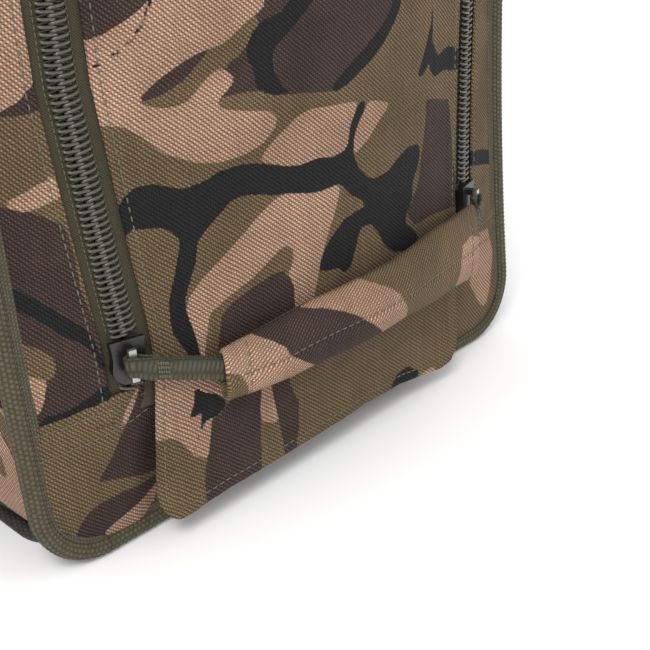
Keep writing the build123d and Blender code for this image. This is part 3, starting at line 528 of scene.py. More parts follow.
def camo_material(name, pitch=(0.00107, 0.00100), printed=True, base=OLIVE, bump=0.00042):
    k = Nodes(name)
    c = k.attr("cloth", True)
    u, v, _ = k.xyz(c)
    # yarns wander a little
    wob = k.noise(c, 95.0, 1.0)
    u2 = k.m("ADD", u, k.m("MULTIPLY", k.m("SUBTRACT", wob, 0.5), 0.0012))
    wob2 = k.noise(k.vec(v, u, 3.0), 95.0, 1.0)
    v2 = k.m("ADD", v, k.m("MULTIPLY", k.m("SUBTRACT", wob2, 0.5), 0.0012))
    h, r, par = plain_weave(k, u2, v2, *pitch)
    # the floats line up in dotted ribs that fall to the right; they shape the bump and the painted shade below
    rib = k.m("ADD", k.m("DIVIDE", u2, pitch[0]), k.m("DIVIDE", v2, pitch[1]))
    rib = k.m("MULTIPLY_ADD", k.m("COSINE", k.m("MULTIPLY", rib, PI)), 0.5, 0.5)
    h = k.m("ADD", k.m("MULTIPLY", h, 0.58), k.m("MULTIPLY", rib, 0.44))
    col = (*base, 1.0)
    if printed:
        # print edges step along the yarns
        jit = k.m("MULTIPLY", k.m("SUBTRACT", r, 0.5), 0.5)
        jit = k.m("ADD", jit, k.m("MULTIPLY", k.m("SUBTRACT", k.noise(c, 420.0, 2.0), 0.5), 0.7))
        tone = k.noise(k.vec(u, v, 5.0), 30.0, 3.0)
        olive = k.mix(k.range(tone, 0.35, 0.65), (0.118, 0.080, 0.042), (0.158, 0.107, 0.058))
        tan = k.mix(k.range(tone, 0.35, 0.65), (0.315, 0.190, 0.128), (0.405, 0.250, 0.172))
        brown = k.mix(k.range(tone, 0.35, 0.65), (0.045, 0.028, 0.024), (0.061, 0.038, 0.031))
        col = olive
        for nm, cc in (("brown", brown), ("tan", tan), ("black", (*BLACK, 1.0))):
            d = k.m("ADD", k.attr(nm), jit)
            col = k.mix(k.range(d, 0.20, -0.20), col, cc)
    # painted shade and highlight: the weave height (ribs included) darkens the colour in the gaps between yarns and
    # lightens the raised floats, and one family of floats is painted darker as if in shade; r adds each yarn's own
    # random tone
    shade = k.m("MULTIPLY", k.range(h, 0.10, 0.90, 0.14, 1.34), k.m("MULTIPLY_ADD", r, 0.30, 0.86))
    shade = k.m("MULTIPLY", shade, k.m("MULTIPLY_ADD", par, 0.42, 0.68))
    wear = k.m("MULTIPLY_ADD", k.noise(c, 14.0, 3.0), 0.16, 0.92)
    col = k.gain(col, k.m("MULTIPLY", shade, wear))
    k.set("Base Color", col)
    k.set("Roughness", 0.78)
    k.set("Specular IOR Level", 0.15)
    k.set("Sheen Weight", 0.02)
    k.set("Sheen Roughness", 0.5)
    fuzz = k.noise(c, 2600.0, 2.0)
    hh = k.m("ADD", h, k.m("MULTIPLY", fuzz, 0.35))
    k.set("Normal", k.bump(hh, bump, 0.9))
    return k.mat


def web_material(name, base, pu=0.0020, pv=0.0016, rough=0.62, depth=0.0005, use_object=False, fleck=0.0):
    """Woven webbing: rows of plump beads, staggered row by row."""
    k = Nodes(name)
    c = k.obj() if use_object else k.attr("cloth", True)
    u, v, w = k.xyz(c)
    V = k.m("DIVIDE", v, pv)
    iv = k.m("FLOOR", V)
    U = k.m("ADD", k.m("DIVIDE", u, pu), k.m("MULTIPLY", k.m("FLOORED_MODULO", iv, 2.0), 0.5))
    iu = k.m("FLOOR", U)
    fu = k.m("SUBTRACT", k.m("FRACT", U), 0.5)
    fv = k.m("SUBTRACT", k.m("FRACT", V), 0.5)
    h = k.m("MULTIPLY", k.m("MULTIPLY_ADD", k.m("MULTIPLY", fu, fu), -3.4, 1.0), k.m("MULTIPLY_ADD", k.m("MULTIPLY", fv, fv), -3.0, 1.0))
    r = k.white(k.vec(iu, iv))
    strand = k.m("SINE", k.m("MULTIPLY", k.m("ADD", u, k.m("MULTIPLY", v, 0.6)), 2 * PI / 0.00042))
    # painted shade and highlight: the bead height darkens the colour between the beads and lightens their crowns; r
    # adds each bead's own random tone
    shade = k.m("MULTIPLY", k.range(h, 0.1, 0.95, 0.42, 1.15), k.m("MULTIPLY_ADD", r, 0.26, 0.87))
    col = k.gain((*base,), k.m("MULTIPLY", shade, k.m("MULTIPLY_ADD", k.noise(c, 40.0, 3.0), 0.3, 0.85)))
    if fleck:
        col = k.mix(k.m("MULTIPLY", k.range(r, 0.8, 0.82), fleck), col, (0.3, 0.26, 0.17))
    k.set("Base Color", col)
    k.set("Roughness", rough)
    k.set("Specular IOR Level", 0.32)
    k.set("Sheen Weight", 0.02)
    k.set("Normal", k.bump(k.m("ADD", h, k.m("MULTIPLY", strand, 0.07)), depth, 0.9))
    return k.mat


def twill_material(name, base, pitch=0.0011, rough=0.7, use_object=False, depth=0.00025):
    k = Nodes(name)
    c = k.obj() if use_object else k.attr("cloth", True)
    u, v, w = k.xyz(c)
    U = k.m("DIVIDE", k.m("ADD", u, v), pitch)
    Vv = k.m("DIVIDE", v, pitch * 0.8)
    a = k.m("ABSOLUTE", k.m("SINE", k.m("MULTIPLY", U, PI)))
    b = k.m("ABSOLUTE", k.m("SINE", k.m("MULTIPLY", Vv, PI)))
    h = k.m("MULTIPLY", k.m("POWER", a, 0.7), k.m("MULTIPLY_ADD", b, 0.4, 0.6))
    # painted shade and highlight: the twill's height darkens the colour in its grooves and lightens it on the ribs
    col = k.gain((*base,), k.m("MULTIPLY", k.range(h, 0.1, 1.0, 0.55, 1.15), k.m("MULTIPLY_ADD", k.noise(c, 60.0, 3.0), 0.4, 0.8)))
    k.set("Base Color", col)
    k.set("Roughness", rough)
    k.set("Specular IOR Level", 0.3)
    k.set("Sheen Weight", 0.08)
    k.set("Normal", k.bump(h, depth, 0.9))
    return k.mat


def solid_material(name, base, rough=0.4, metal=0.0, grain=900.0, depth=0.00008, wear=None, ior=1.5, coat=0.0, use_object=True, spec=0.5):
    """Moulded plastic, painted or plated metal: fine grain, uneven gloss, brighter rubbed patches."""
    k = Nodes(name)
    c = k.obj() if use_object else k.attr("cloth", True)
    n1 = k.noise(c, grain, 3.0, 0.6)
    n2 = k.noise(c, 70.0, 4.0, 0.6)
    col = k.gain((*base,), k.m("MULTIPLY_ADD", n2, 0.5, 0.75))
    if wear:
        col = k.mix(k.range(n2, 0.58, 0.72), col, (*wear, 1.0))
    k.set("Base Color", col)
    k.set("Metallic", metal)
    k.set("Roughness", k.m("MULTIPLY_ADD", n2, 0.25, rough - 0.12))
    k.set("IOR", ior)
    k.set("Specular IOR Level", spec)
    k.set("Coat Weight", coat)
    k.set("Normal", k.bump(k.m("ADD", n1, k.m("MULTIPLY", n2, 0.5)), depth, 0.6))
    return k.mat


def bridge_material(name, dark, bright, y0=0.2417, reach=0.0046):
    """A slider's body in dark plating, its raised bridge rubbed bright."""
    k = Nodes(name)
    c = k.obj()
    x, y, z = k.xyz(c)
    yy = k.m("SUBTRACT", y, y0)
    d = k.m("SUBTRACT", k.m("SQRT", k.m("ADD", k.m("MULTIPLY", x, x), k.m("MULTIPLY", yy, yy))), 0.3586)
    n1, n2 = k.noise(c, 900.0, 3.0, 0.6), k.noise(c, 160.0, 4.0, 0.6)
    up = k.range(k.m("ADD", d, k.m("MULTIPLY", k.m("SUBTRACT", n2, 0.5), 0.0022)), reach, reach + 0.0012)
    k.set("Base Color", k.mix(up, (*dark, 1.0), (*bright, 1.0)))
    k.set("Metallic", 0.88)
    k.set("Roughness", k.m("MULTIPLY_ADD", n2, 0.22, 0.22))
    k.set("Normal", k.bump(k.m("ADD", n1, k.m("MULTIPLY", n2, 0.5)), 0.00010, 0.6))
    return k.mat


def mesh_material(name, base=(0.030, 0.030, 0.028)):
    """Spacer mesh: rows of small oval holes in a knitted face."""
    k = Nodes(name)
    c = k.attr("cloth", True)
    u, v, _ = k.xyz(c)
    p = 0.0034
    V = k.m("DIVIDE", v, p * 0.80)
    iv = k.m("FLOOR", V)
    U = k.m("ADD", k.m("DIVIDE", u, p), k.m("MULTIPLY", k.m("FLOORED_MODULO", iv, 2.0), 0.5))
    fu = k.m("SUBTRACT", k.m("FRACT", U), 0.5)
    fv = k.m("SUBTRACT", k.m("FRACT", V), 0.5)
    r2 = k.m("SQRT", k.m("ADD", k.m("MULTIPLY", fu, fu), k.m("MULTIPLY", k.m("MULTIPLY", fv, fv), 1.3)))
    hole = k.range(r2, 0.20, 0.34)
    knit = k.m("SINE", k.m("MULTIPLY", k.m("ADD", u, k.m("MULTIPLY", v, 0.4)), 2 * PI / 0.0006))
    h = k.m("ADD", hole, k.m("MULTIPLY", knit, 0.10))
    # painted shade: the colour is darkened to a quarter inside the holes, where shade falls, and lightened on the knit
    # between them
    col = k.gain((*base,), k.m("MULTIPLY", k.range(hole, 0.0, 1.0, 0.25, 1.25), k.m("MULTIPLY_ADD", k.noise(c, 30.0, 3.0), 0.4, 0.8)))
    k.set("Base Color", col)
    k.set("Roughness", 0.75)
    k.set("Sheen Weight", 0.25)
    k.set("Normal", k.bump(h, 0.0009, 0.9))
    return k.mat


CAMO = camo_material("camo_cloth")
PLAIN = camo_material("olive_cloth", printed=False, base=(0.150, 0.112, 0.066))
PIPING = web_material("piping_webbing", (0.088, 0.074, 0.041), pu=0.00215, pv=0.0021, depth=0.0007)
WEBBING = web_material("olive_webbing", (0.085, 0.074, 0.046), pu=0.0019, pv=0.0015)
LINKWEB = web_material("link_webbing", (0.064, 0.058, 0.037), pu=0.0021, pv=0.0046, depth=0.0007)
BINDING = web_material("edge_binding", (0.080, 0.070, 0.042), pu=0.0016, pv=0.0013, depth=0.0003)
TAPE = twill_material("zip_tape", (0.056, 0.047, 0.026))
COIL = solid_material("zip_coil", (0.058, 0.052, 0.038), rough=0.30, grain=1500.0, spec=0.7, use_object=True, depth=0.00004)
THREAD = twill_material("thread", (0.135, 0.135, 0.088), pitch=0.0007, rough=0.6, depth=0.00012)
METAL = solid_material("gunmetal", (0.070, 0.068, 0.066), rough=0.34, metal=0.85, grain=700.0, wear=(0.14, 0.135, 0.125), depth=0.00010)
SLIDER = bridge_material("plated_slider", (0.060, 0.059, 0.058), (0.46, 0.45, 0.42))
BRIGHT = solid_material("plated_bridge", (0.42, 0.41, 0.39), rough=0.30, metal=0.9, grain=700.0)
PLASTIC = solid_material("moulded_plastic", (0.028, 0.027, 0.025), rough=0.45, grain=1300.0, depth=0.00012)
MESH = mesh_material("spacer_mesh")
LINING = twill_material("lining", (0.070, 0.066, 0.056), pitch=0.0008, depth=0.00012)
LINING_CAD = twill_material("lining_inner", (0.070, 0.066, 0.056), pitch=0.0008, depth=0.00012, use_object=True)
BOARD = solid_material("board", (0.050, 0.048, 0.044), rough=0.6, grain=260.0, depth=0.00020)
BASE = web_material("coated_base", (0.040, 0.038, 0.033), pu=0.0022, pv=0.0022, depth=0.00035)


# ------------------------------------------------------------------ front door and its hanging flap
HEM = [(-110, 14.4, 4.2), (-100.1, 14.0, 4.2), (-96.7, 12.7, 4.0), (-92.2, 12.0, 3.4), (-85.7, 12.5, 2.2), (-79.8, 13.7, 1.0), (-67.4, 14.5, -1.5),
       (-47.6, 14.4, -4.5), (-27.1, 14.6, -6.5), (-7.1, 15.4, -7.5), (16.8, 16.8, -7.5), (41.8, 15.7, -6.0), (60.4, 12.4, -4.0), (71.3, 11.0, -2.0),
       (78.2, 12.5, 0.0), (84.3, 15.2, 1.0), (92.0, 16.0, 1.4)]


def hem_at(s, k):
    return np.interp(s, [h[0] for h in HEM], [h[k] for h in HEM])


def door_left(z):
    z = np.asarray(z, float)
    low = np.interp(z, [8, 16, 21.8, 32.5, 45.1, 55.3, 65.1, 76], [-99.4, -100.6, -101.0, -99.6, -97.6, -95.9, -94.1, -92.4])
    return np.where(z < 76, low, -(zip_s(z) - 10.0))


def door_right(z):
    z = np.asarray(z, float)
    low = np.interp(z, [8, 15.2, 22.9, 35.5, 45.5, 60, 76], [83.2, 84.4, 85.0, 86.4, 87.1, 89.5, 92.4])
    return np.where(z < 76, low, zip_s(z) - 10.0)


def flap_lift(s, z):
    """How far the hanging end of the door stands off the bag: the edges flare out and the middle tucks in."""
    f = 1 - smooth(z, 14, 74)
    edge = smooth(np.abs(s), 84, 100)
    return f * (hem_at(s, 2) - 0.5) + 0.35 * np.sin(s / 13.0 + 0.6) * (1 - smooth(z, 10, 50)) + 0.6 * f * edge * (1 - f)


DOOR_T0, DOOR_T1 = 8.0, 379.0


def door_grid(U, V, inner=False, off=0.0):
    """Points of the door at fractions U across and V up, with (s, z) of each."""
    zz = DOOR_T0 + V * (DOOR_T1 - DOOR_T0)
    r = 8.0
    lo = np.clip(r - (zz - DOOR_T0), 0, r)
    hi = np.clip(r - (DOOR_T1 - zz), 0, r)
    inset = (r - np.sqrt(np.maximum(r * r - lo * lo, 0))) + (r - np.sqrt(np.maximum(r * r - hi * hi, 0)))
    a, b = door_left(zz) + inset, door_right(zz) - inset
    s = a + U * (b - a)
    hem = hem_at(s, 1) - 8.0
    z = zz + hem * (1 - smooth(zz, 8, 60))
    e = np.minimum(np.minimum(s - a, b - s), np.minimum(zz - DOOR_T0, DOOR_T1 - zz))
    e = np.maximum(e, 0)
    P3 = np.stack([s, z, 0 * s], -1)
    puff = 0.55 * noise(P3, 34, 21) + 0.35 * noise(P3, 13, 22)
    puff = puff * smooth(e, 2, 22)
    hemfold = 0.55 * (1 - smooth(e, 7.6, 8.8))
    seamdip = -0.45 * np.exp(-((e - 3.6) / 0.9) ** 2)
    d = 0.55 + flap_lift(s, z) + puff + hemfold + seamdip
    if inner:
        d = d - 1.3 - 0.5 * hemfold
        tuck = 1.05 * np.clip(1 - e / 1.1, 0, 1) ** 2
        d = d + tuck * 0.45
    else:
        d = d - 0.95 * (1 - np.sqrt(np.clip(1 - np.clip(1 - e / 1.1, 0, 1) ** 2, 0, 1)))
    d = d + off
    return surf(s, z, d), s, z, d


def edge_spaced(n, m, w=0.02):
    """Fractions 0..1 with m extra closely spaced samples near both ends."""
    a = np.linspace(0, 1, m, endpoint=False) ** 1.6 * w
    mid = np.linspace(w, 1 - w, n)
    return np.concatenate([a, mid, 1 - a[::-1]])


Uv = edge_spaced(96, 5, 0.022)
Vv = np.concatenate([np.linspace(0, 1, 4, endpoint=False) ** 1.6 * 0.008, np.linspace(0.008, 0.5, 118, endpoint=False), np.linspace(0.5, 0.992, 62), 1 - (np.linspace(0, 1, 4, endpoint=False) ** 1.6 * 0.008)[::-1]])
UU, VV = np.meshgrid(Uv, Vv, indexing="ij")
A, s_, z_, d_ = door_grid(UU, VV)
B, sb, zb, db = door_grid(UU, VV, inner=True)
s_app, z_app = s_ + (d_ - 0.5) * 0.5, z_ - 0.66 * (d_ - 0.5)


def cloth_of(s, z, twist=0.02, shear=0.0):
    return np.stack([s + twist * z, z - twist * s, 0 * s], -1).reshape(-1, 3) / 1000


def fields(s, z, P, shapes, weight, seed):
    g = drawn(s, z, shapes)
    f = blend_fields(P, g, weight, seed)
    return {k: v.ravel() for k, v in f.items()}


def both(f, g=None):
    g = g or f
    return {k: np.concatenate([f[k], g[k]]) for k in f}


z_top = 176 - 0.19 * (s_app + 100)
wt = 1 - smooth(z_app, z_top, z_top + 14)
fo = fields(s_app, z_app, A, DOOR, wt, 3)
V, F = two_sided(A, B)
cl = cloth_of(s_, z_)
door = make("door_panel", V, F, CAMO, "front_door", {"cloth": np.vstack([cl, cl]), **both(fo)})
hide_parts("front_door")

# rows of topstitching down both edges, round the hem and along the top
lines = []
dv = np.linspace(0.022, 0.985, 420)
wz = door_right(8 + 371 * dv) - door_left(8 + 371 * dv)
for e in (3.6,):
    lines.append(door_grid(e / wz, dv)[0])
    lines.append(door_grid(1 - e / wz, dv)[0])
du = np.linspace(0.045, 0.955, 260)
lines.append(door_grid(du, np.full_like(du, 5.0 / 371))[0])
lines.append(door_grid(du, np.full_like(du, 1 - 4.0 / 371))[0])
parts = []
for L in lines:
    N = normal(arc_s(np.clip(L[:, 0], -300, 300)), L[:, 2])
    parts.append(stitch_mesh(L, N, lift=0.30))
V, F, C = join(parts)
make("door_topstitch", V, F, THREAD, "front_door", {"cloth": C})


# ------------------------------------------------------------------ panels beside the zips
def side_grid(sign, U, V, inner=False):
    z = 60.0 + V * (382.6 - 60.0)
    a = zip_s(z) + 9.4
    b = arc_s(half_w(z) - 2.6)
    b = np.maximum(b, a + 4)
    s = a + U * (b - a)
    e = np.maximum(s - a, 0)
    P3 = np.stack([s * sign, z, 0 * s], -1)
    puff = (0.45 * noise(P3, 30, 31) + 0.3 * noise(P3, 12, 32)) * smooth(e, 4, 16) * smooth(b - s, 1, 10)
    d = 0.75 + puff + 0.35 * (1 - smooth(e, 7.5, 9)) - 0.4 * np.exp(-((e - 3.2) / 0.9) ** 2)
    if inner:
        d = d - 1.5 + 0.5 * np.clip(1 - e / 1.3, 0, 1) ** 2
    else:
        d = d - 1.0 * (1 - np.sqrt(np.clip(1 - np.clip(1 - e / 1.3, 0, 1) ** 2, 0, 1)))
    return surf(s * sign, z, d), s * sign, z


Us = np.concatenate([np.linspace(0, 1, 5, endpoint=False) ** 1.6 * 0.04, np.linspace(0.04, 1, 26)])
Vs = np.linspace(0, 1, 130)
US, VS = np.meshgrid(Us, Vs, indexing="ij")
for sign, side in ((-1, "left"), (1, "right")):
    A, s2, z2 = side_grid(sign, US, VS)
    B, _, _ = side_grid(sign, US, VS, True)
    w = 1 - smooth(z2, 176, 190)
    f = fields(s2, z2, A, SIDE if sign < 0 else SIDE_RIGHT, w, 5)
    V, F = two_sided(A, B)
    cl = cloth_of(s2, z2, 0.05 * sign)
    o = make(f"front_margin_{side}", V, F, CAMO, "bag", {"cloth": np.vstack([cl, cl]), **both(f)})
    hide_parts(f"front_side_{side}")
    vv = np.linspace(0.03, 0.985, 400)
    zz = 60 + vv * 322.6
    ww = np.maximum(arc_s(half_w(zz) - 2.6) - zip_s(zz) - 9.4, 4)
    P, ss, zq = side_grid(sign, 3.2 / ww, vv)
    V, F, C = stitch_mesh(P, normal(ss, zq), lift=0.30)
    make(f"front_margin_stitch_{side}", V, F, THREAD, "bag", {"cloth": C})


# ------------------------------------------------------------------ header over the door
def header_grid(U, V, inner=False):
    z = 381.6 + V * (410.0 - 381.6)
    hw_ = np.maximum(half_w(np.minimum(z, 409.6)) - 2.6, 20)
    s = (U * 2 - 1) * arc_s(hw_)
    e = z - 381.6
    d = 0.5 + 0.35 * (1 - smooth(e, 6, 8)) - 0.35 * np.exp(-((e - 3.4) / 0.9) ** 2) + 0.35 * noise(np.stack([s, z, 0 * s], -1), 24, 41)
    d = d - (1.4 if inner else 0.0) - (0 if inner else 0.8 * np.clip(1 - e / 1.2, 0, 1) ** 2)
    return surf(s, z, d), s, z


UH, VH = np.meshgrid(np.linspace(0, 1, 110), np.concatenate([np.linspace(0, .06, 4, endpoint=False), np.linspace(.06, 1, 14)]), indexing="ij")
A, s3, z3 = header_grid(UH, VH)
B, _, _ = header_grid(UH, VH, True)
f = fields(s3, z3, A, [], 0 * s3, 7)
V, F = two_sided(A, B)
cl = cloth_of(s3, z3)
hd = make("front_header_band", V, F, CAMO, "bag", {"cloth": np.vstack([cl, cl]), **both(f)})
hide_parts("front_header", "door_hinge_strip")
uu = np.linspace(0.02, 0.98, 300)
P, sq, zq = header_grid(uu, np.full_like(uu, 3.4 / 28.4))
V, F, C = stitch_mesh(P, normal(sq, zq), lift=0.3)
make("front_header_stitch", V, F, THREAD, "bag", {"cloth": C})


# ------------------------------------------------------------------ lower band
def band_top(s):
    a = np.abs(s)
    return np.interp(a, [0, 90, 103, 118, 130, 142, 152], [70.5, 71.0, 72.4, 70.2, 67.8, 66.2, 66.0])


EDGE_D = R * math.cos(math.asin(139.6 / R))


def under(s, z):
    """The bulge dies away below the handle, so that the bottom edge runs straight between the corners."""
    return np.maximum(R * np.cos(s / R) - EDGE_D, 0) * np.clip((72.0 - z) / 69.0, 0, 1) ** 1.6


def band_grid(U, V, inner=False, off=0.0):
    smax = arc_s(half_w(40.0) - 2.4)
    s = (U * 2 - 1) * smax
    x = np.abs(R * np.sin(s / R))
    # bottom edge follows the piping's lower corners
    r, c = 27.0, 143.8 - 27.0
    q = np.clip(x - c + 2.4, 0, r - 0.01)
    zlow = 3.2 + (r - np.sqrt(r * r - q * q))
    ztop = band_top(s)
    z = zlow + V * (ztop - zlow)
    e = ztop - z
    out = smooth(np.abs(s), 95, 107)
    base = -1.7 + 2.9 * out
    P3 = np.stack([s, z, 0 * s], -1)
    low = 1 - smooth(z - zlow, 0, 9)
    d = base + (0.5 * noise(P3, 26, 51) + 0.25 * noise(P3, 10, 52)) * smooth(e, 2, 10) + 0.3 * (1 - smooth(e, 7, 8.4)) * out \
        - 0.4 * out * np.exp(-((e - 3.9) / 0.9) ** 2) - 1.6 * low ** 2
    d = d - (1.5 if inner else 0.9 * np.clip(1 - e / 1.2, 0, 1) ** 2) + off - under(s, z)
    return surf(s, z, d), s, z


UB, VB = np.meshgrid(np.linspace(0, 1, 170), np.concatenate([np.linspace(0, .97, 34, endpoint=False), np.linspace(.97, 1, 5)]), indexing="ij")
A, s4, z4 = band_grid(UB, VB)
B, _, _ = band_grid(UB, VB, True)
w = np.maximum(1 - smooth(s4, -96, -84), smooth(s4, 84, 96))
f = fields(s4, z4, A, BAND + BAND_RIGHT, w, 9)
V, F = two_sided(A, B)
cl = cloth_of(s4, z4, -0.03)
bd = make("front_lower_panel", V, F, CAMO, "bag", {"cloth": np.vstack([cl, cl]), **both(f)})
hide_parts("front_lower_band")
parts = []
for sg in (-1, 1):
    sm = arc_s(half_w(40.0) - 2.4)
    ss = np.linspace(96, sm - 1.5, 120)
    uu = (sg * ss / sm + 1) / 2
    # the two rows converge towards the zip's lower end
    P, a1, b1 = band_grid(uu, 1 - 3.9 / (band_top(ss) - 5.0))
    parts.append(stitch_mesh(P, normal(a1, b1), lift=0.3))
    second = np.interp(ss, [96, 104, 118, 135, 152], [60.5, 59.0, 56.0, 53.2, 51.5])
    x = np.abs(R * np.sin(ss / R))
    q = np.clip(x - 116.8 + 2.4, 0, 26.99)
    zl = 3.2 + (27 - np.sqrt(27 ** 2 - q * q))
    P, a1, b1 = band_grid(uu, (second - zl) / (band_top(ss) - zl))
    parts.append(stitch_mesh(P, normal(a1, b1), lift=0.3))
V, F, C = join(parts)
make("front_lower_stitch", V, F, THREAD, "bag", {"cloth": C})


# ------------------------------------------------------------------ loops round the bag
def loop_xz(hw, z0, z1, rb, rt, step=2.0):
    """Upright rounded rectangle, counter-clockwise seen from the front, with outward directions."""
    pts, nor = [], []

    def arc(cx, cz, r, a0, a1):
        n = max(6, int(abs(a1 - a0) * r / step))
        for t in np.linspace(a0, a1, n, endpoint=False):
            pts.append((cx + r * math.cos(t), cz + r * math.sin(t)))
            nor.append((math.cos(t), math.sin(t)))

    def line(x0, za, x1, zb_, n0):
        n = max(2, int(math.hypot(x1 - x0, zb_ - za) / step))
        for t in np.linspace(0, 1, n, endpoint=False):
            pts.append((x0 + (x1 - x0) * t, za + (zb_ - za) * t))
            nor.append(n0)
    line(-hw + rb, z0, hw - rb, z0, (0, -1))
    arc(hw - rb, z0 + rb, rb, -PI / 2, 0)
    line(hw, z0 + rb, hw, z1 - rt, (1, 0))
    arc(hw - rt, z1 - rt, rt, 0, PI / 2)
    line(hw - rt, z1, -hw + rt, z1, (0, 1))
    arc(-hw + rt, z1 - rt, rt, PI / 2, PI)
    line(-hw, z1 - rt, -hw, z0 + rb, (-1, 0))
    arc(-hw + rb, z0 + rb, rb, PI, 1.5 * PI)
    return np.array(pts), np.array(nor)


def piping_tube(P, N, r, rows, pu=2.15, dimple=0.42, step=0.72, closed=True):
    """Beaded webbing cord: plump staggered beads on a round core."""
    P2 = resample(P, step, closed)
    Nn = np.stack([np.interp(np.linspace(0, 1, len(P2), endpoint=not closed), np.linspace(0, 1, len(N) + 1 if closed else len(N)), (np.append(N[:, k], N[0, k]) if closed else N[:, k])) for k in range(3)], -1)
    T, Nq, B = frames(P2, Nn, closed)
    L = arclen(P2, closed)
    total = L[-1]
    pu = total / round(total / pu) if closed else pu
    m = rows * 3
    th = np.linspace(0, 2 * PI, m, endpoint=False)
    rowf = th / (2 * PI) * rows
    iv = np.floor(rowf)
    fv = rowf - iv - 0.5
    U = L[:len(P2), None] / pu + 0.5 * (iv[None, :] % 2)
    fu = U - np.floor(U) - 0.5
    h = (1 - 3.4 * fu ** 2) * (1 - 3.0 * fv[None, :] ** 2)
    rr = r - dimple * 0.7 + dimple * h
    V = P2[:, None] + rr[..., None] * (np.cos(th)[None, :, None] * B[:, None] + np.sin(th)[None, :, None] * Nq[:, None])
    F = quads(len(P2), m, closed, True).tolist()
    if not closed:
        F.append(list(range(m))[::-1])
        F.append(list(range((len(P2) - 1) * m, len(P2) * m)))
    cl = np.stack([np.broadcast_to(L[:len(P2), None] * 2.15 / pu, U.shape), np.broadcast_to(rowf[None] * 2.1, U.shape), 0 * U], -1).reshape(-1, 3) / 1000
    return V.reshape(-1, 3), F, cl


pts, nor = loop_xz(143.8, 4.4, 412.3, 27, 44, 2.0)
py = plane_y(pts[:, 1]) + 0.2
P = np.stack([pts[:, 0], py, pts[:, 1]], -1)
N = np.stack([nor[:, 0], 0 * nor[:, 0], nor[:, 1]], -1)
V, F, C = piping_tube(P, N, 4.15, 12)
pp = make("front_piping_cord", V, F, PIPING, "bag", {"cloth": C}, recalc=False)
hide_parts("front_piping")
# sewn flange of the piping, just inside it, pressed on the front panels
pi_, ni_ = loop_xz(139.4, 8.6, 408.0, 23, 40, 2.0)
Pf = np.stack([pi_[:, 0], plane_y(pi_[:, 1]) - 1.4, pi_[:, 1]], -1)
Nf = np.stack([0 * ni_[:, 0], -1 + 0 * ni_[:, 0], 0 * ni_[:, 0]], -1)
V, F, C = sweep(Pf, Nf, band_section(7.0, 1.3, 5), closed=True)
make("front_piping_flange", V, F, BINDING, "bag", {"cloth": C})


# ------------------------------------------------------------------ gussets
def gusset(name, hw, z0, z1, rb, rt, y0_fn, y1, nd, seed, sag, cut_top=None, wall=1.8, flare=0.0):
    pts, nor = loop_xz(hw, z0, z1, rb, rt, 3.0)
    closed = True
    if cut_top is not None:
        # start at the right top edge, run down, across and up the left
        keep = pts[:, 1] <= cut_top + 0.01
        i0 = int(np.argmax(~keep))
        pts, nor, keep = np.roll(pts, -i0, 0), np.roll(nor, -i0, 0), np.roll(keep, -i0)
        pts, nor = pts[keep], nor[keep]
        closed = False
    L = arclen(np.stack([pts[:, 0], 0 * pts[:, 0], pts[:, 1]], -1), closed)[:len(pts)]
    t = np.linspace(0, 1, nd)
    y0 = y0_fn(pts[:, 1])
    Y = y0[:, None] + t[None, :] * (y1 - y0[:, None])
    X = pts[:, :1] + flare * t[None, :] * np.clip(pts[:, :1] / 60.0, -1, 1)
    Z = np.broadcast_to(pts[:, 1:], Y.shape)
    P0 = np.stack([X, Y, Z], -1)
    N3 = np.stack([np.broadcast_to(nor[:, :1], Y.shape), 0 * Y, np.broadcast_to(nor[:, 1:], Y.shape)], -1)
    e = np.minimum(t * (y1 - y0.mean()), (1 - t) * (y1 - y0.mean()))
    body = np.sin(PI * t) ** 0.7
    side = np.abs(nor[:, :1])
    wob = 1.1 * noise(P0, 48, seed) + 0.5 * noise(P0, 17, seed + 1)
    wob = wob + 0.8 * np.sin(P0[..., 2] / 11 + 3 * noise(P0, 60, seed + 2)) * side * 0.35
    d = (sag * side + wob * (0.35 + 0.65 * side)) * body[None, :] - 0.5 * np.exp(-((e[None, :] - 3.6) / 0.9) ** 2)
    low = np.clip(-nor[:, 1:], 0, 1)
    d = np.where(low > 0.6, np.minimum(d, 0.0), d)
    A = P0 + N3 * d[..., None]
    B = P0 + N3 * (d[..., None] - wall)
    V, F = two_sided(A, B, wrap_u=closed)
    f = free_camo(A, seed)
    f = {k: v.ravel() for k, v in f.items()}
    cl = np.stack([np.broadcast_to(L[:, None], Y.shape), Y, 0 * Y], -1).reshape(-1, 3) / 1000
    o = make(name, V, F, CAMO, "bag", {"cloth": np.vstack([cl, cl]), **both(f)})
    rows = []
    for ee in (3.6, (y1 - y0.mean()) - 3.6):
        k = ee / (y1 - y0.mean())
        j = k * (nd - 1)
        a, b = int(j), min(int(j) + 1, nd - 1)
        Lp = A[:, a] * (1 - (j - a)) + A[:, b] * (j - a)
        rows.append(stitch_mesh(Lp, N3[:, 0], lift=0.3, closed=closed))
    V, F, C = join(rows)
    make(name + "_stitch", V, F, THREAD, "bag", {"cloth": C})
    return o


g = gusset("front_side_gusset", 139.8, 3.0, 408.0, 26, 42, lambda z: plane_y(z) + 4.4, -2.0, 34, 61, 1.4, flare=4.6)
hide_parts("front_gusset")
g = gusset("main_side_gusset", 148.0, 3.0, 512.0, 30, 4, lambda z: 3.0 + 0 * z, 104.0, 40, 71, 2.2, cut_top=452.0)
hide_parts("main_gusset")


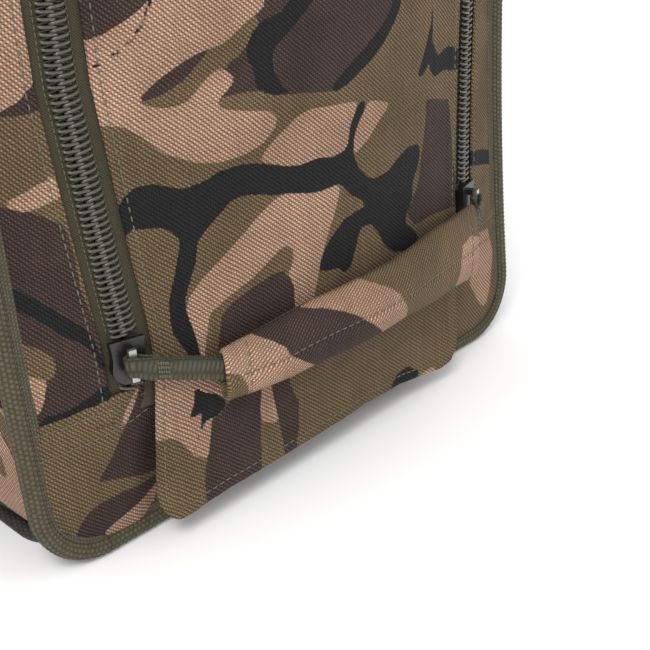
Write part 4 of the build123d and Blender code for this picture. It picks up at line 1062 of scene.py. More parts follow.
# ------------------------------------------------------------------ zips
def coil_half(P, N, inner_sign, reach, depth, pitch=2.55, phase=0.0, wire=0.60, overlap=0.75, per=14, m=7):
    """Half of a coil zip: one wire wound along the tape's edge, its heads thickened where the halves mesh.
    inner_sign is the side of the middle that this half lies on."""
    L = arclen(P)
    turns = L[-1] / pitch
    n = int(turns * per)
    ph = np.linspace(0, turns * 2 * PI, n)
    along = ph / (2 * PI) * pitch
    C = np.stack([np.interp(along, L, P[:, k]) for k in range(3)], -1)
    Nn = np.stack([np.interp(along, L, N[:, k]) for k in range(3)], -1)
    T, Nn, B = frames(C, Nn)
    mid = (reach - overlap) / 2
    amp = (reach + overlap) / 2
    a = ph + phase
    ca = np.cos(a)
    ca = np.sign(ca) * np.abs(ca) ** 0.62
    sa = np.sin(a)
    off = inner_sign * (mid - amp * ca)
    Q = C + B * off[:, None] + Nn * (depth * sa)[:, None]
    head = np.clip(ca, 0, 1) ** 4
    r = wire * (1 + 0.42 * head)
    Tq = np.gradient(Q, axis=0)
    Tq /= np.linalg.norm(Tq, axis=1, keepdims=True)
    U = np.cross(Tq, T)
    U /= np.linalg.norm(U, axis=1, keepdims=True)
    W = np.cross(Tq, U)
    th = np.linspace(0, 2 * PI, m, endpoint=False)
    V = Q[:, None] + r[:, None, None] * (np.cos(th)[None, :, None] * U[:, None] + np.sin(th)[None, :, None] * W[:, None])
    F = quads(n, m, False, True).tolist()
    F.append(list(range(m))[::-1])
    F.append(list(range((n - 1) * m, n * m)))
    cl = np.stack([np.broadcast_to(along[:, None], (n, m)), np.broadcast_to(th[None], (n, m)), np.zeros((n, m))], -1).reshape(-1, 3) / 1000
    return V.reshape(-1, 3), F, cl


def front_zip_line(sign, z0, z1, d, spread=0.0, step=1.5):
    z = np.arange(z0, z1 + 0.01, step)
    s = sign * (zip_s(z) + spread)
    return surf(s, z, d), normal(s, z)


coil_bag, coil_door, tape_bag, tape_door, tst_b, tst_d = [], [], [], [], [], []
for sign in (-1, 1):
    # binormal points to +s when running up the front
    for z0, z1, openz in ((94.8, 374.0, 0.0), (72.4, 75.2, 1.0)):
        P, N = front_zip_line(sign, z0, z1, 0.15)
        T_, N_, B_ = frames(P, N)
        up = 1.0 if B_[0, 0] > 0 else -1.0
        spl = openz * np.clip((75.2 - P[:, 2]) / 10.0, 0, 1) * 1.3
        outer = P + B_ * (sign * up * spl)[:, None]
        inner = P - B_ * (sign * up * spl)[:, None]
        coil_bag.append(coil_half(outer, N, sign * up, 4.9, 1.0, phase=0.0))
        coil_door.append(coil_half(inner, N, -sign * up, 4.9, 1.0, phase=PI))
    P, N = front_zip_line(sign, 60.0, 378.0, -1.9, 9.6)
    tape_bag.append(sweep(P, N, band_section(16.0, 0.75, 7)))
    P, N = front_zip_line(sign, 62.0, 378.0, -1.9, -8.4)
    tape_door.append(sweep(P, N, band_section(16.0, 0.75, 7)))
    for sp in (5.9, -5.9):
        P, N = front_zip_line(sign, 96.0, 374.0, -1.35, sp)
        (tst_b if sp > 0 else tst_d).append(stitch_mesh(P, N, pitch=2.55, length=2.0, r=0.26, lift=0.2))
for nm, parts, mat, body, slot, node in (
        ("front_zip_coil_on_bag", coil_bag, COIL, "bag", "zip_coil", "front_zip_coils_bag"),
        ("front_zip_coil_on_door", coil_door, COIL, "front_door", "zip_coil", "front_zip_coils_door"),
        ("front_zip_tape_on_bag", tape_bag, TAPE, "bag", "zip_tape", "front_zip_tapes_bag"),
        ("front_zip_tape_on_door", tape_door, TAPE, "front_door", "zip_tape", "front_zip_tapes_door")):
    V, F, C = join(parts)
    o = make(nm, V, F, mat, body, {"cloth": C}, recalc=nm.find("tape") > 0)
    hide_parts(node)
for nm, parts, body in (("front_zip_thread_on_bag", tst_b, "bag"), ("front_zip_thread_on_door", tst_d, "front_door")):
    V, F, C = join(parts)
    make(nm, V, F, THREAD, body, {"cloth": C})
# ------------------------------------------------------------------ front pull handle: a fabric tube over webbing
HS0, HS1 = -67.0, 92.0
# along: height of its middle, width, stand-off of its middle, half thickness
GRIP = np.array([(-67, 70.6, 23.5, 8.2, 4.2), (-60, 71.5, 24.5, 8.5, 4.5), (-45, 73.0, 26.0, 9.5, 5.4), (-25, 75.0, 29.0, 10.0, 5.8), (0, 75.0, 28.5, 10.5, 6.0),
                 (25, 75.0, 29.5, 10.5, 6.0), (45, 75.0, 32.0, 10.0, 5.8), (62, 74.5, 34.0, 9.6, 5.4), (78, 73.0, 35.0, 9.0, 5.0), (92, 71.0, 36.0, 8.5, 4.5)])
SEAM = 1.66


def handle_centre(s):
    return np.interp(s, GRIP[:, 0], GRIP[:, 1]), np.interp(s, GRIP[:, 0], GRIP[:, 3])


def handle_point(s, ang, grow=0.0):
    z, d = handle_centre(s)
    e = np.minimum(s - HS0, HS1 - s)
    w = np.interp(s, GRIP[:, 0], GRIP[:, 2]) / 2 + 0.3 * np.sin(s / 7.0 + 1) + grow
    thk = np.interp(s, GRIP[:, 0], GRIP[:, 4]) + 0.25 * np.sin(s / 9.0) - 0.7 * np.exp(-(np.maximum(e, 0) / 5.0) ** 2) + grow
    c, sn = np.cos(ang), np.sin(ang)
    p = 2.35
    a = w * np.sign(c) * np.abs(c) ** (2 / p)
    b = thk * np.sign(sn) * np.abs(sn) ** (2 / p)
    P3 = np.stack([s + 0 * a, a, b], -1)
    wr = 0.45 * noise(P3, 14, 81) + 0.22 * noise(P3 * np.array([0.45, 1, 1]), 5, 82)
    # seams dip the pad: one lengthwise just under its middle, one across each end
    seam = np.exp(-((ang - SEAM) * 13.0 / 1.2) ** 2) * 0.9
    cross = 0.85 * (np.exp(-((s - HS0 - 9.0) / 0.9) ** 2) + np.exp(-((HS1 - 9.0 - s) / 0.9) ** 2))
    dip = np.maximum(seam, cross)
    b = b * (1 - dip / 6.5)
    base = surf(s, z, d)
    n = normal(s, z)
    up = np.stack([0 * s, 0.07 + 0 * s, 1 + 0 * s], -1)
    up = up / np.linalg.norm(up, axis=-1, keepdims=True)
    return base + up * (a * (1 + wr * 0.02))[..., None] + n * (b + wr)[..., None], a, b


ns, na = 190, 64
ss = HS0 + (HS1 - HS0) * (0.5 - 0.5 * np.cos(np.linspace(0, PI, ns)) * 1.0) * 0.4 + (HS1 - HS0) * np.linspace(0, 1, ns) * 0.6
aa = np.linspace(0, 2 * PI, na, endpoint=False)
S2, A2 = np.meshgrid(ss, aa, indexing="ij")
P, a_, b_ = handle_point(S2, A2)
# the ends turn in round the webbing, as a folded hem does
rings, sl, al = [P], [S2], [a_]
rings_lo, rings_hi = [], []
for dd, k in ((1.2, 0.90), (0.6, 0.74), (-3.0, 0.66), (-9.0, 0.60)):
    for end, row, store in ((HS0, 0, rings_lo), (HS1, -1, rings_hi)):
        z, d = handle_centre(np.array([end]))
        c0 = surf(end, z, d).reshape(3)
        q = P[row]
        n0 = normal(np.array([end]), z).reshape(3)
        rel = q - c0
        out = (rel @ n0)[:, None] * n0
        rest = rel - out
        ax = np.array([math.cos(end / R), math.sin(end / R), 0.0]) * (-1 if end < 0 else 1)
        rest = rest - (rest @ ax)[:, None] * ax
        store.append(c0 + rest * (k * 0.5 + 0.5) * 0.96 + out * (k - 0.12) + ax * dd)
G = np.stack(rings_lo[::-1] + list(P) + rings_hi, 0)
n_extra = len(rings_lo)
Sx = np.concatenate([np.full((n_extra, na), HS0), S2, np.full((n_extra, na), HS1)])
Ax = np.concatenate([np.tile(a_[0], (n_extra, 1)), a_, np.tile(a_[-1], (n_extra, 1))])
Bx = np.concatenate([np.tile(b_[0], (n_extra, 1)), b_, np.tile(b_[-1], (n_extra, 1))])
F = quads(len(G), na, False, True).tolist()
F.append(list(range(na))[::-1])
F.append(list(range((len(G) - 1) * na, len(G) * na)))
zc = handle_centre(Sx)[0]
g = drawn(Sx, zc + Ax, [("tan", [(-90, 30), (130, 30), (130, 120), (-90, 120)])] + HAND)
fc = free_camo(np.stack([Sx + 300, Ax, Bx], -1), 15)
back = smooth(-Bx, 0.0, 3.0)
f = {k: (np.clip(g[k], -9, 9) * (1 - back) + fc[k] * back).ravel() for k in g}
per = np.linspace(0, 1, na, endpoint=False) * 74.0
cl = np.stack([Sx, np.broadcast_to(per[None], Sx.shape), 0 * Sx], -1).reshape(-1, 3) / 1000
hp = make("front_handle_grip", G.reshape(-1, 3), F, CAMO, "front_handle", {"cloth": cl, **f})
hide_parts("front_handle_pad")
parts = []
sl_ = np.linspace(HS0 + 2, HS1 - 2, 320)
for ang in (SEAM,):
    q, _, _ = handle_point(sl_, np.full_like(sl_, ang), 0.0)
    parts.append(stitch_mesh(q, normal(sl_, 70 + 0 * sl_), lift=0.25))
for s0 in (HS0 + 9.0, HS1 - 9.0):
    for a0, a1, sg in ((0.14, PI - 0.14, 1),):
        an = np.linspace(a0, a1, 80)
        q, _, _ = handle_point(np.full_like(an, s0), an)
        parts.append(stitch_mesh(q, normal(np.full_like(an, s0), 62 + 0 * an) + np.stack([0 * an, 0 * an, 0.8 * np.cos(an)], -1), lift=0.25))
V, F, C = join(parts)
make("front_handle_stitch", V, F, THREAD, "front_handle", {"cloth": C})

# webbing links from the sliders' bridges to the grip: a loop round each bridge, doubled and bar-tacked, then into the tube
bail = {}
for sign in (-1, 1):
    c = surf(sign * 102.4, 84.75, 7.0 - 0.55)
    c = np.array([sign * 102.99, -108.825, 85.22])
    bail[sign] = c
for sign, side, send in ((-1, "left", HS0 + 6.0), (1, "right", HS1 - 6.0)):
    c = bail[sign]
    n = normal(sign * 102.4, 84.75)
    upv = np.array([0, 0.07, 1.0]); upv /= np.linalg.norm(upv)
    zc, dc = handle_centre(np.array([send]))
    end = surf(send, zc, dc).reshape(3)
    ne = normal(np.array([send]), zc).reshape(3)
    acr = np.cross(upv, n)      # towards +s
    ins = acr * (-sign) / np.linalg.norm(acr)
    # loop round the bridge bar, then out to the grip
    loop = []
    for t in np.linspace(-0.35 * PI, 1.15 * PI, 16):
        loop.append(c + (ins * -1) * (2.4 * math.sin(t)) * 1.0 + n * (2.4 * math.cos(t)))
    start = c + n * 2.6
    mid1 = c + n * 3.2 + (end - c) * 0.22 - n * 0.2
    mid2 = c * 0.35 + end * 0.65 + n * 1.1
    back0 = c - n * 2.2 + ins * 3.0
    path_top = np.array([c - ins * 2.9 - n * 0.2, c - ins * 2.2 + n * 1.7, c + n * 2.7, c + n * 3.0 + (end - c) * 0.10, mid1, mid2, end + ne * 0.9])
    path_bot = np.array([c - ins * 2.9 - n * 0.6, c - ins * 1.6 - n * 2.2, c - n * 2.4 + ins * 0.6, c + n * 0.2 + (end - c) * 0.16, mid1 - n * 2.0, mid2 - n * 1.9, end - ne * 1.0])
    both_p = []
    for pth in (path_top, path_bot):
        t = np.linspace(0, 1, len(pth))
        tt = np.linspace(0, 1, 70)
        # lay straight lines through the points, then smooth them by repeated averaging
        q = np.stack([np.interp(tt, t, pth[:, k]) for k in range(3)], -1)
        for _ in range(14):
            q[1:-1] = (q[:-2] + 2 * q[1:-1] + q[2:]) / 4
        both_p.append(resample(q, 1.0))
    Ls = []
    for q in both_p:
        Lq = arclen(q)
        T_ = np.gradient(q, axis=0)
        T_ /= np.linalg.norm(T_, axis=1, keepdims=True)
        width = 15.5 + 0 * Lq
        dist = np.linalg.norm(q - c, axis=1)
        width = np.interp(dist, [0, 4, 8, 11, 14, 20, 60], [7.4, 8.6, 9.8, 8.4, 8.8, 9.3, 9.3])
        sec = np.stack([band_section(wd, 1.7, 9) for wd in width])
        nn = np.cross(T_, upv)
        nn = nn / np.linalg.norm(nn, axis=1, keepdims=True)
        sgn = np.sign((nn @ n))
        nn = nn * np.where(sgn == 0, 1, sgn)[:, None]
        # keep the turned part continuous
        for i in range(1, len(nn)):
            if nn[i] @ nn[i - 1] < 0:
                nn[i] = -nn[i]
        Ls.append(sweep(q, nn, sec))
    V, F, C = join(Ls)
    o = make(f"front_handle_link_{side}", V, F, LINKWEB, None, {"cloth": C})
    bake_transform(o)
    if sign < 0:
        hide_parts("front_handle_webbing")
    # bar tack across the doubled webbing
    q = both_p[0]
    dist = np.linalg.norm(q - c, axis=1)
    i = int(np.argmin(np.abs(dist - 11.0)))
    tacks = []
    for k in range(-2, 3):
        j = min(max(i + k, 2), len(q) - 3)
        p0 = q[j] + n * 0.95
        line = np.stack([p0 + upv * a for a in np.linspace(-3.7, 3.7, 12)])
        tacks.append(stitch_mesh(line, n, pitch=1.5, length=1.35, r=0.4, lift=0.2))
    V, F, C = join(tacks)
    o = make(f"front_handle_bartack_{side}", V, F, THREAD, None, {"cloth": C})
    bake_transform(o)


# ------------------------------------------------------------------ general soft pieces
def strap_piece(name, P, N, w, t, mat, body, nodes=(), crown=0.0, step=2.0, edge_stitch=2.6, scale_w=None, stitch=True):
    """Flat webbing along a line, with a row of stitches near each edge."""
    P = resample(np.asarray(P, float), step)
    N = np.asarray(N, float)
    if N.ndim == 2 and len(N) != len(P):
        k = np.linspace(0, 1, len(P))
        N = np.stack([np.interp(k, np.linspace(0, 1, len(N)), N[:, a]) for a in range(3)], -1)
    V, F, C = sweep(P, N, band_section(w, t, 9, crown))
    o = make(name, V, F, mat, body, {"cloth": C})
    if nodes:
        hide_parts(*nodes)
    if stitch:
        T, Nn, B = frames(P, N)
        parts = []
        for sg in (-1, 1):
            q = P + B * sg * (w / 2 - edge_stitch) + Nn * (t / 2 + crown)
            parts.append(stitch_mesh(q[1:-1], Nn[1:-1], lift=0.25))
        V, F, C = join(parts)
        make(name + "_stitch", V, F, THREAD, body, {"cloth": C})
    return o


def rounded_slab(name, hx, z0, z1, rb, rt, y_in, y_out_fn, mat, body, nodes=(), seed=1, nx=90, nz=130, camo=False, edge=6.0, cloth_scale=1.0):
    """A pad in the X-Z plane: its outline is a rounded rectangle, its outer face y_out_fn(x, z, edge distance), crowned to its edge."""
    V_ = edge_spaced(nz, 6, 0.03)
    U_ = edge_spaced(nx, 6, 0.035)
    U2, V2 = np.meshgrid(U_, V_, indexing="ij")
    Z = z0 + V2 * (z1 - z0)
    H = np.maximum(half_w(Z, hx, z0, z1, rb, rt), 1.0)
    # rows near a rounded end keep some width, so faces stay even
    X = (U2 * 2 - 1) * H
    e = np.minimum(H - np.abs(X), np.minimum(Z - z0, z1 - Z))
    r = np.clip(1 - e / edge, 0, 1)
    roll = np.sqrt(np.clip(1 - r * r, 0, 1))
    yo = y_out_fn(X, Z, e)
    ymid = (y_in + yo) / 2
    A = np.stack([X, ymid + (yo - ymid) * (0.12 + 0.88 * roll), Z], -1)
    B = np.stack([X, ymid - (ymid - y_in) * (0.12 + 0.88 * np.clip(roll * 1.4, 0, 1)), Z], -1)
    V, F = two_sided(A, B)
    cl = np.stack([X, Z, 0 * X], -1).reshape(-1, 3) / 1000 * cloth_scale
    at = {"cloth": np.vstack([cl, cl])}
    if camo:
        f = {k: v.ravel() for k, v in free_camo(A, seed).items()}
        at.update(both(f))
    o = make(name, V, F, mat, body, at)
    if nodes:
        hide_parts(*nodes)
    return o


def edge_cord(name, hx, z0, z1, rb, rt, y, r, mat=None, cut_top=None):
    pts, nor = loop_xz(hx, z0, z1, rb, rt, 2.0)
    closed = True
    if cut_top is not None:
        keep = pts[:, 1] <= cut_top + 0.01
        i0 = int(np.argmax(~keep))
        pts, nor, keep = np.roll(pts, -i0, 0), np.roll(nor, -i0, 0), np.roll(keep, -i0)
        pts, nor = pts[keep], nor[keep]
        closed = False
    P = np.stack([pts[:, 0], y + 0 * pts[:, 0], pts[:, 1]], -1)
    N = np.stack([nor[:, 0], 0 * nor[:, 0], nor[:, 1]], -1)
    V, F, C = piping_tube(P, N, r, max(6, int(round(2 * PI * r / 2.1))), dimple=0.3, step=0.9, closed=closed)
    return make(name, V, F, mat or PIPING, "bag", {"cloth": C}, recalc=False)


# divider between the compartments, with its bound edge
dv = rounded_slab("divider_panel", 147.4, 3.2, 452.0, 24, 4, 2.6, lambda x, z, e: -1.6 + 0 * x, LINING, "bag", ("divider",), edge=1.6)
edge_cord("divider_binding", 147.2, 4.2, 600, 26, 4, 0.4, 2.5, BINDING, cut_top=450.5)
edge_cord("back_seam_cord", 148.0, 4.2, 451.8, 30, 24, 105.4, 2.7, PIPING)
rounded_slab("back_lining_cloth", 147.6, 3.4, 451.8, 30, 24, 104.3, lambda x, z, e: 105.6 + 0 * x, LINING, "bag", ("back_lining",), edge=1.2)


def back_face(x, z, e):
    ch = np.minimum(np.abs(np.abs(x) - 46.0), np.where(np.abs(x) > 46, 99, np.minimum.reduce([np.abs(z - q) for q in (150, 240, 330)])))
    ch = np.minimum(ch, np.where(np.abs(x) > 46, np.minimum.reduce([np.abs(z - q) for q in (110, 205, 300, 390)]), 99))
    puff = 1 - np.exp(-(ch / 8.5) ** 2)
    p3 = np.stack([x, z, 0 * x], -1)
    return 113.4 + 7.6 * puff + 0.5 * noise(p3, 30, 91)


bp = rounded_slab("back_pad_mesh", 146.5, 5.0, 450.0, 30, 24, 108.6, back_face, MESH, "bag", ("back_pad",), nx=150, nz=230, edge=9.0)
parts = []
for x0 in (-46, 46):
    z = np.linspace(14, 441, 250)
    y = back_face(np.full_like(z, x0), z, 50)
    parts.append(stitch_mesh(np.stack([np.full_like(z, x0), y, z], -1), np.array([0, 1.0, 0]), lift=0.3))
for q in (150, 240, 330):
    x = np.linspace(-44, 44, 80)
    parts.append(stitch_mesh(np.stack([x, back_face(x, np.full_like(x, q), 50), np.full_like(x, q)], -1), np.array([0, 1.0, 0]), lift=0.3))
for q in (110, 205, 300, 390):
    for a, b in ((-137, -48), (48, 137)):
        x = np.linspace(a, b, 80)
        parts.append(stitch_mesh(np.stack([x, back_face(x, np.full_like(x, q), 50), np.full_like(x, q)], -1), np.array([0, 1.0, 0]), lift=0.3))
V, F, C = join(parts)
make("back_pad_stitch", V, F, THREAD, "bag", {"cloth": C})


def lumbar_face(x, z, e):
    ch = np.abs(np.abs(x) - 30.0)
    puff = 1 - np.exp(-(ch / 7.0) ** 2)
    return 122.4 + 8.0 * puff + 2.8 * (1 - (x / 95) ** 2) * smooth(e, 0, 16)


lb = rounded_slab("lumbar_pad_mesh", 90, 40, 118, 22, 22, 119.6, lumbar_face, MESH, "bag", ("lumbar_pad",), nx=90, nz=50, edge=9.0)
pts, nor = loop_xz(90.4, 39.6, 118.4, 22, 22, 2.0)
P = np.stack([pts[:, 0], 122.2 + 0 * pts[:, 0], pts[:, 1]], -1)
N = np.stack([nor[:, 0], 0 * nor[:, 0], nor[:, 1]], -1)
V, F, C = sweep(P, N, band_section(5.5, 3.0, 5), closed=True)
make("lumbar_binding", V, F, BINDING, "bag", {"cloth": C})

# ------------------------------------------------------------------ base
nb = 60
Xb, Yb = np.meshgrid(np.linspace(-1, 1, nb), np.linspace(-1, 1, nb), indexing="ij")


def squircle(x, y, hx, hy, r):
    """Points of a square grid laid into a rounded rectangle."""
    X, Y = x * hx, y * hy
    cx, cy = hx - r, hy - r
    m = np.maximum(np.abs(x), np.abs(y))
    # shrink corners of every ring towards a rounded corner of that ring
    rx, ry = hx * m, hy * m
    rr = r * m
    ax, ay = np.abs(X) - (rx - rr), np.abs(Y) - (ry - rr)
    c = (ax > 0) & (ay > 0) & (rr > 1e-6)
    L = np.sqrt(ax ** 2 + ay ** 2) + 1e-9
    k = np.maximum(ax, ay) / L
    X = np.where(c, np.sign(X) * ((rx - rr) + ax * k), X)
    Y = np.where(c, np.sign(Y) * ((ry - rr) + ay * k), Y)
    return X, Y, m


Xq, Yq, mq = squircle(Xb, Yb, 136, 100, 18)
zb_ = 2.55 - 0.5 * np.clip((mq - 0.985) / 0.015, 0, 1) + 0 * Xq
A = np.stack([Xq, Yq + 17, zb_], -1)
B = np.stack([Xq * 0.998, (Yq + 0) * 0.998 + 17, 0.0 + 0.35 * np.clip((mq - 0.985) / 0.015, 0, 1)], -1)
V, F = two_sided(A, B)
cl = np.stack([Xq, Yq, 0 * Xq], -1).reshape(-1, 3) / 1000
bs = make("base_sheet", V, F, BASE, "bag", {"cloth": np.vstack([cl, cl])})
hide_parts("base_panel")
for nm, mt in (("base_board", BOARD), ("back_stiffener", BOARD)):
    NODES[nm].data.materials.clear()
    NODES[nm].data.materials.append(mt)

# ------------------------------------------------------------------ lid
LX, LY0, LY1 = 148.0, -1.7, 120.0
lcx, lcy, lhx, lhy = 0.0, (LY0 + LY1) / 2, 148.0, (LY1 - LY0) / 2
nl = 120
gx, gy = np.meshgrid(np.sin(np.linspace(-1, 1, nl) * PI / 2 * 0.999), np.sin(np.linspace(-1, 1, 70) * PI / 2 * 0.999), indexing="ij")
X, Y, m = squircle(gx, gy, lhx - 2.2, lhy - 2.2, 11)
top = 489.4 + 4.2 * (1 - gx ** 2) ** 0.7 * (1 - gy ** 2) ** 0.7
p3 = np.stack([X, Y, 0 * X], -1)
top = top + 0.9 * noise(p3, 45, 101) + 0.4 * noise(p3, 16, 102) - 0.4 * smooth(m, 0.93, 1.0)
A = np.stack([X, Y + lcy, top], -1)
B = np.stack([X * 0.985, Y * 0.985 + lcy, top - 2.0], -1)
V, F = two_sided(A, B)
f = {k: v.ravel() for k, v in free_camo(A, 17).items()}
cl = np.stack([X, Y, 0 * X], -1).reshape(-1, 3) / 1000
lt = make("lid_top_panel", V, F, CAMO, "lid", {"cloth": np.vstack([cl, cl]), **both(f)})
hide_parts("lid")


def lid_loop(off, r_extra=0.0, step=2.0):
    """Plan outline of the lid, off outside it: small front corners and rounder back ones."""
    pts, nor = [], []
    x1, y0, y1 = LX + off, LY0 - off, LY1 + off
    rf, rbk = 5.0 + off, 12.0 + off

    def arc(cx, cy, r, a0, a1):
        for t in np.linspace(a0, a1, 10, endpoint=False):
            pts.append((cx + r * math.cos(t), cy + r * math.sin(t))); nor.append((math.cos(t), math.sin(t)))

    def line(p, q, n0):
        n = max(2, int(math.hypot(q[0] - p[0], q[1] - p[1]) / step))
        for t in np.linspace(0, 1, n, endpoint=False):
            pts.append((p[0] + (q[0] - p[0]) * t, p[1] + (q[1] - p[1]) * t)); nor.append(n0)
    line((-x1 + rf, y0), (x1 - rf, y0), (0, -1))
    arc(x1 - rf, y0 + rf, rf, -PI / 2, 0)
    line((x1, y0 + rf), (x1, y1 - rbk), (1, 0))
    arc(x1 - rbk, y1 - rbk, rbk, 0, PI / 2)
    line((x1 - rbk, y1), (-x1 + rbk, y1), (0, 1))
    arc(-x1 + rbk, y1 - rbk, rbk, PI / 2, PI)
    line((-x1, y1 - rbk), (-x1, y0 + rf), (-1, 0))
    arc(-x1 + rf, y0 + rf, rf, PI, 1.5 * PI)
    return np.array(pts), np.array(nor)


pts, nor = lid_loop(-0.6)
L = arclen(np.column_stack([pts, 0 * pts[:, 0]]), True)[:len(pts)]
hz = np.concatenate([np.linspace(455.9, 457.2, 4, endpoint=False), np.linspace(457.2, 489.6, 15)])
Zs = np.broadcast_to(hz[None], (len(pts), len(hz)))
q = (Zs - 455.9) / 33.7
bul = 1.3 * np.sin(PI * q) + 0.45 * noise(np.stack([np.broadcast_to(pts[:, :1], Zs.shape), np.broadcast_to(pts[:, 1:], Zs.shape), Zs], -1), 22, 111) * np.sin(PI * q) \
    - 0.45 * np.exp(-((Zs - 459.6) / 0.9) ** 2) - 0.9 * np.clip(1 - (Zs - 455.9) / 1.2, 0, 1) ** 2 * 0.5
N3 = np.stack([np.broadcast_to(nor[:, :1], Zs.shape), np.broadcast_to(nor[:, 1:], Zs.shape), 0 * Zs], -1)
base_p = np.stack([np.broadcast_to(pts[:, :1], Zs.shape), np.broadcast_to(pts[:, 1:], Zs.shape), Zs], -1)
A = base_p + N3 * bul[..., None]
B = base_p + N3 * (bul[..., None] - 1.6)
V, F = two_sided(A, B, wrap_u=True)
f = {k: v.ravel() for k, v in free_camo(A, 17).items()}
cl = np.stack([np.broadcast_to(L[:, None], Zs.shape), Zs, 0 * Zs], -1).reshape(-1, 3) / 1000
make("lid_side_band", V, F, CAMO, "lid", {"cloth": np.vstack([cl, cl]), **both(f)})
V, F, C = stitch_mesh(A[:, 6], N3[:, 0], lift=0.3, closed=True)
make("lid_side_stitch", V, F, THREAD, "lid", {"cloth": C})
pts2, nor2 = lid_loop(0.2)
V, F, C = piping_tube(np.column_stack([pts2, 489.6 + 0 * pts2[:, 0]]), np.column_stack([nor2, 0 * nor2[:, 0]]), 2.6, 8, dimple=0.3, step=0.9)
make("lid_edge_cord", V, F, PIPING, "lid", {"cloth": C}, recalc=False)


# lid zip round the front and sides
def lid_zip_line(off, z, y_end=97.0, gap=None, side=0):
    x1, y0, r = 148.0 + off, -1.7 - off, 4.0 + off
    P, N = [], []
    for y in np.arange(y_end, y0 + r, -1.0):
        P.append((-x1, y)); N.append((-1, 0))
    for t in np.linspace(PI, 1.5 * PI, 8):
        P.append((-x1 + r + r * math.cos(t), y0 + r + r * math.sin(t))); N.append((math.cos(t), math.sin(t)))
    for x in np.arange(-x1 + r + 1, x1 - r - 0.5, 1.0):
        P.append((x, y0)); N.append((0, -1))
    for t in np.linspace(1.5 * PI, 2 * PI, 8):
        P.append((x1 - r + r * math.cos(t), y0 + r + r * math.sin(t))); N.append((math.cos(t), math.sin(t)))
    for y in np.arange(y0 + r + 1, y_end + 0.1, 1.0):
        P.append((x1, y)); N.append((1, 0))
    P, N = np.array(P), np.array(N, float)
    P3 = np.column_stack([P, np.full(len(P), z)])
    N3 = np.column_stack([N, np.zeros(len(P))])
    if gap:
        front = np.abs(P3[:, 1] - y0) < 0.2
        a = (~front | (P3[:, 0] < -gap)) & (P3[:, 0] < 0)
        b = (~front | (P3[:, 0] > gap)) & (P3[:, 0] > 0)
        return [(P3[a], N3[a]), (P3[b], N3[b])]
    return [(P3, N3)]


cb, clid = [], []
for P, N in lid_zip_line(3.9, 454.0, gap=20.0):
    T_, N_, B_ = frames(P, N)
    up = 1.0 if B_[0, 2] > 0 else -1.0
    clid.append(coil_half(P, N, up, 3.9, 0.9, pitch=2.1, wire=0.4, per=12, m=6))
    cb.append(coil_half(P, N, -up, 3.9, 0.9, pitch=2.1, phase=PI, wire=0.4, per=12, m=6))
tb = [sweep(P, N, band_section(11.2, 0.7, 7)) for P, N in lid_zip_line(2.4, 447.2)]
tl = [sweep(P, N, band_section(11.2, 0.7, 7)) for P, N in lid_zip_line(2.4, 460.8)]
for nm, parts, mat, body, slot, node in (
        ("lid_coil_on_bag", cb, COIL, "bag", "zip_coil", "lid_zip_coil_bag"), ("lid_coil_on_lid", clid, COIL, "lid", "zip_coil", "lid_zip_coil_lid"),
        ("lid_tape_on_bag", tb, TAPE, "bag", "zip_tape", "lid_zip_tape_bag"), ("lid_tape_on_lid", tl, TAPE, "lid", "zip_tape", "lid_zip_tape_lid")):
    V, F, C = join(parts)
    o = make(nm, V, F, mat, body, {"cloth": C}, recalc="tape" in nm)
    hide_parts(node)
parts_b, parts_l = [], []
for P, N in lid_zip_line(2.9, 444.6):
    parts_b.append(stitch_mesh(P, N, lift=0.25))
for P, N in lid_zip_line(2.9, 463.4):
    parts_l.append(stitch_mesh(P, N, lift=0.25))
for nm, parts, body in (("lid_zip_stitch_bag", parts_b, "bag"), ("lid_zip_stitch_lid", parts_l, "lid")):
    V, F, C = join(parts)
    make(nm, V, F, THREAD, body, {"cloth": C})

# ------------------------------------------------------------------ hardware keeps its CAD shape
for nm in ("front_left_slider", "front_right_slider", "lid_left_slider", "lid_right_slider", "left_d_ring", "right_d_ring"):
    NODES[nm].data.materials.clear()
    NODES[nm].data.materials.append(SLIDER if nm.startswith("front_") else METAL)
for nm in ("lid_left_pull", "lid_right_pull", "left_ladder_lock", "right_ladder_lock", "chest_buckle_socket", "chest_buckle_plug"):
    NODES[nm].data.materials.clear()
    NODES[nm].data.materials.append(PLASTIC)
for nm in NODES:
    m_ = NODES[nm].modifiers.new("soft_edges", "BEVEL") if nm in ("front_left_slider", "front_right_slider", "lid_left_slider", "lid_right_slider", "left_ladder_lock", "right_ladder_lock", "chest_buckle_socket", "chest_buckle_plug", "lid_left_pull", "lid_right_pull") else None
    if m_:
        m_.width = 0.0004
        m_.segments = 3
        m_.limit_method = "ANGLE"
        m_.harden_normals = False

# ------------------------------------------------------------------ carry handle
t = np.linspace(0, 1, 90)
HX, HZ, HY = 44.0, 441.0, 124.2
path = [(-HX, HZ), (-HX, HZ - 22)]
cx_, r_ = 0.0, None
p1, p2, p3 = np.array([-HX, HZ - 22]), np.array([0, HZ - 66]), np.array([HX, HZ - 22])
rr = (HX ** 2 + 44 ** 2) / (2 * 44)
for a in np.linspace(PI, 2 * PI, 60)[1:-1]:
    path.append((44.0 * math.cos(a), HZ - 22 + 44.0 * math.sin(a)))
path += [(HX, HZ - 22), (HX, HZ)]
P = np.array([(x, HY, z) for x, z in path])
strap_piece("carry_handle_web", P, np.array([0, 1.0, 0]), 20, 2.6, WEBBING, "carry_handle", ("carry_handle",), step=1.6)
mid = np.array([(x, HY + 0.2, z) for x, z in path if z < HZ - 44])
sec = oval(23.0, 6.6, 28, 2.4)
Pm = resample(mid, 1.6)
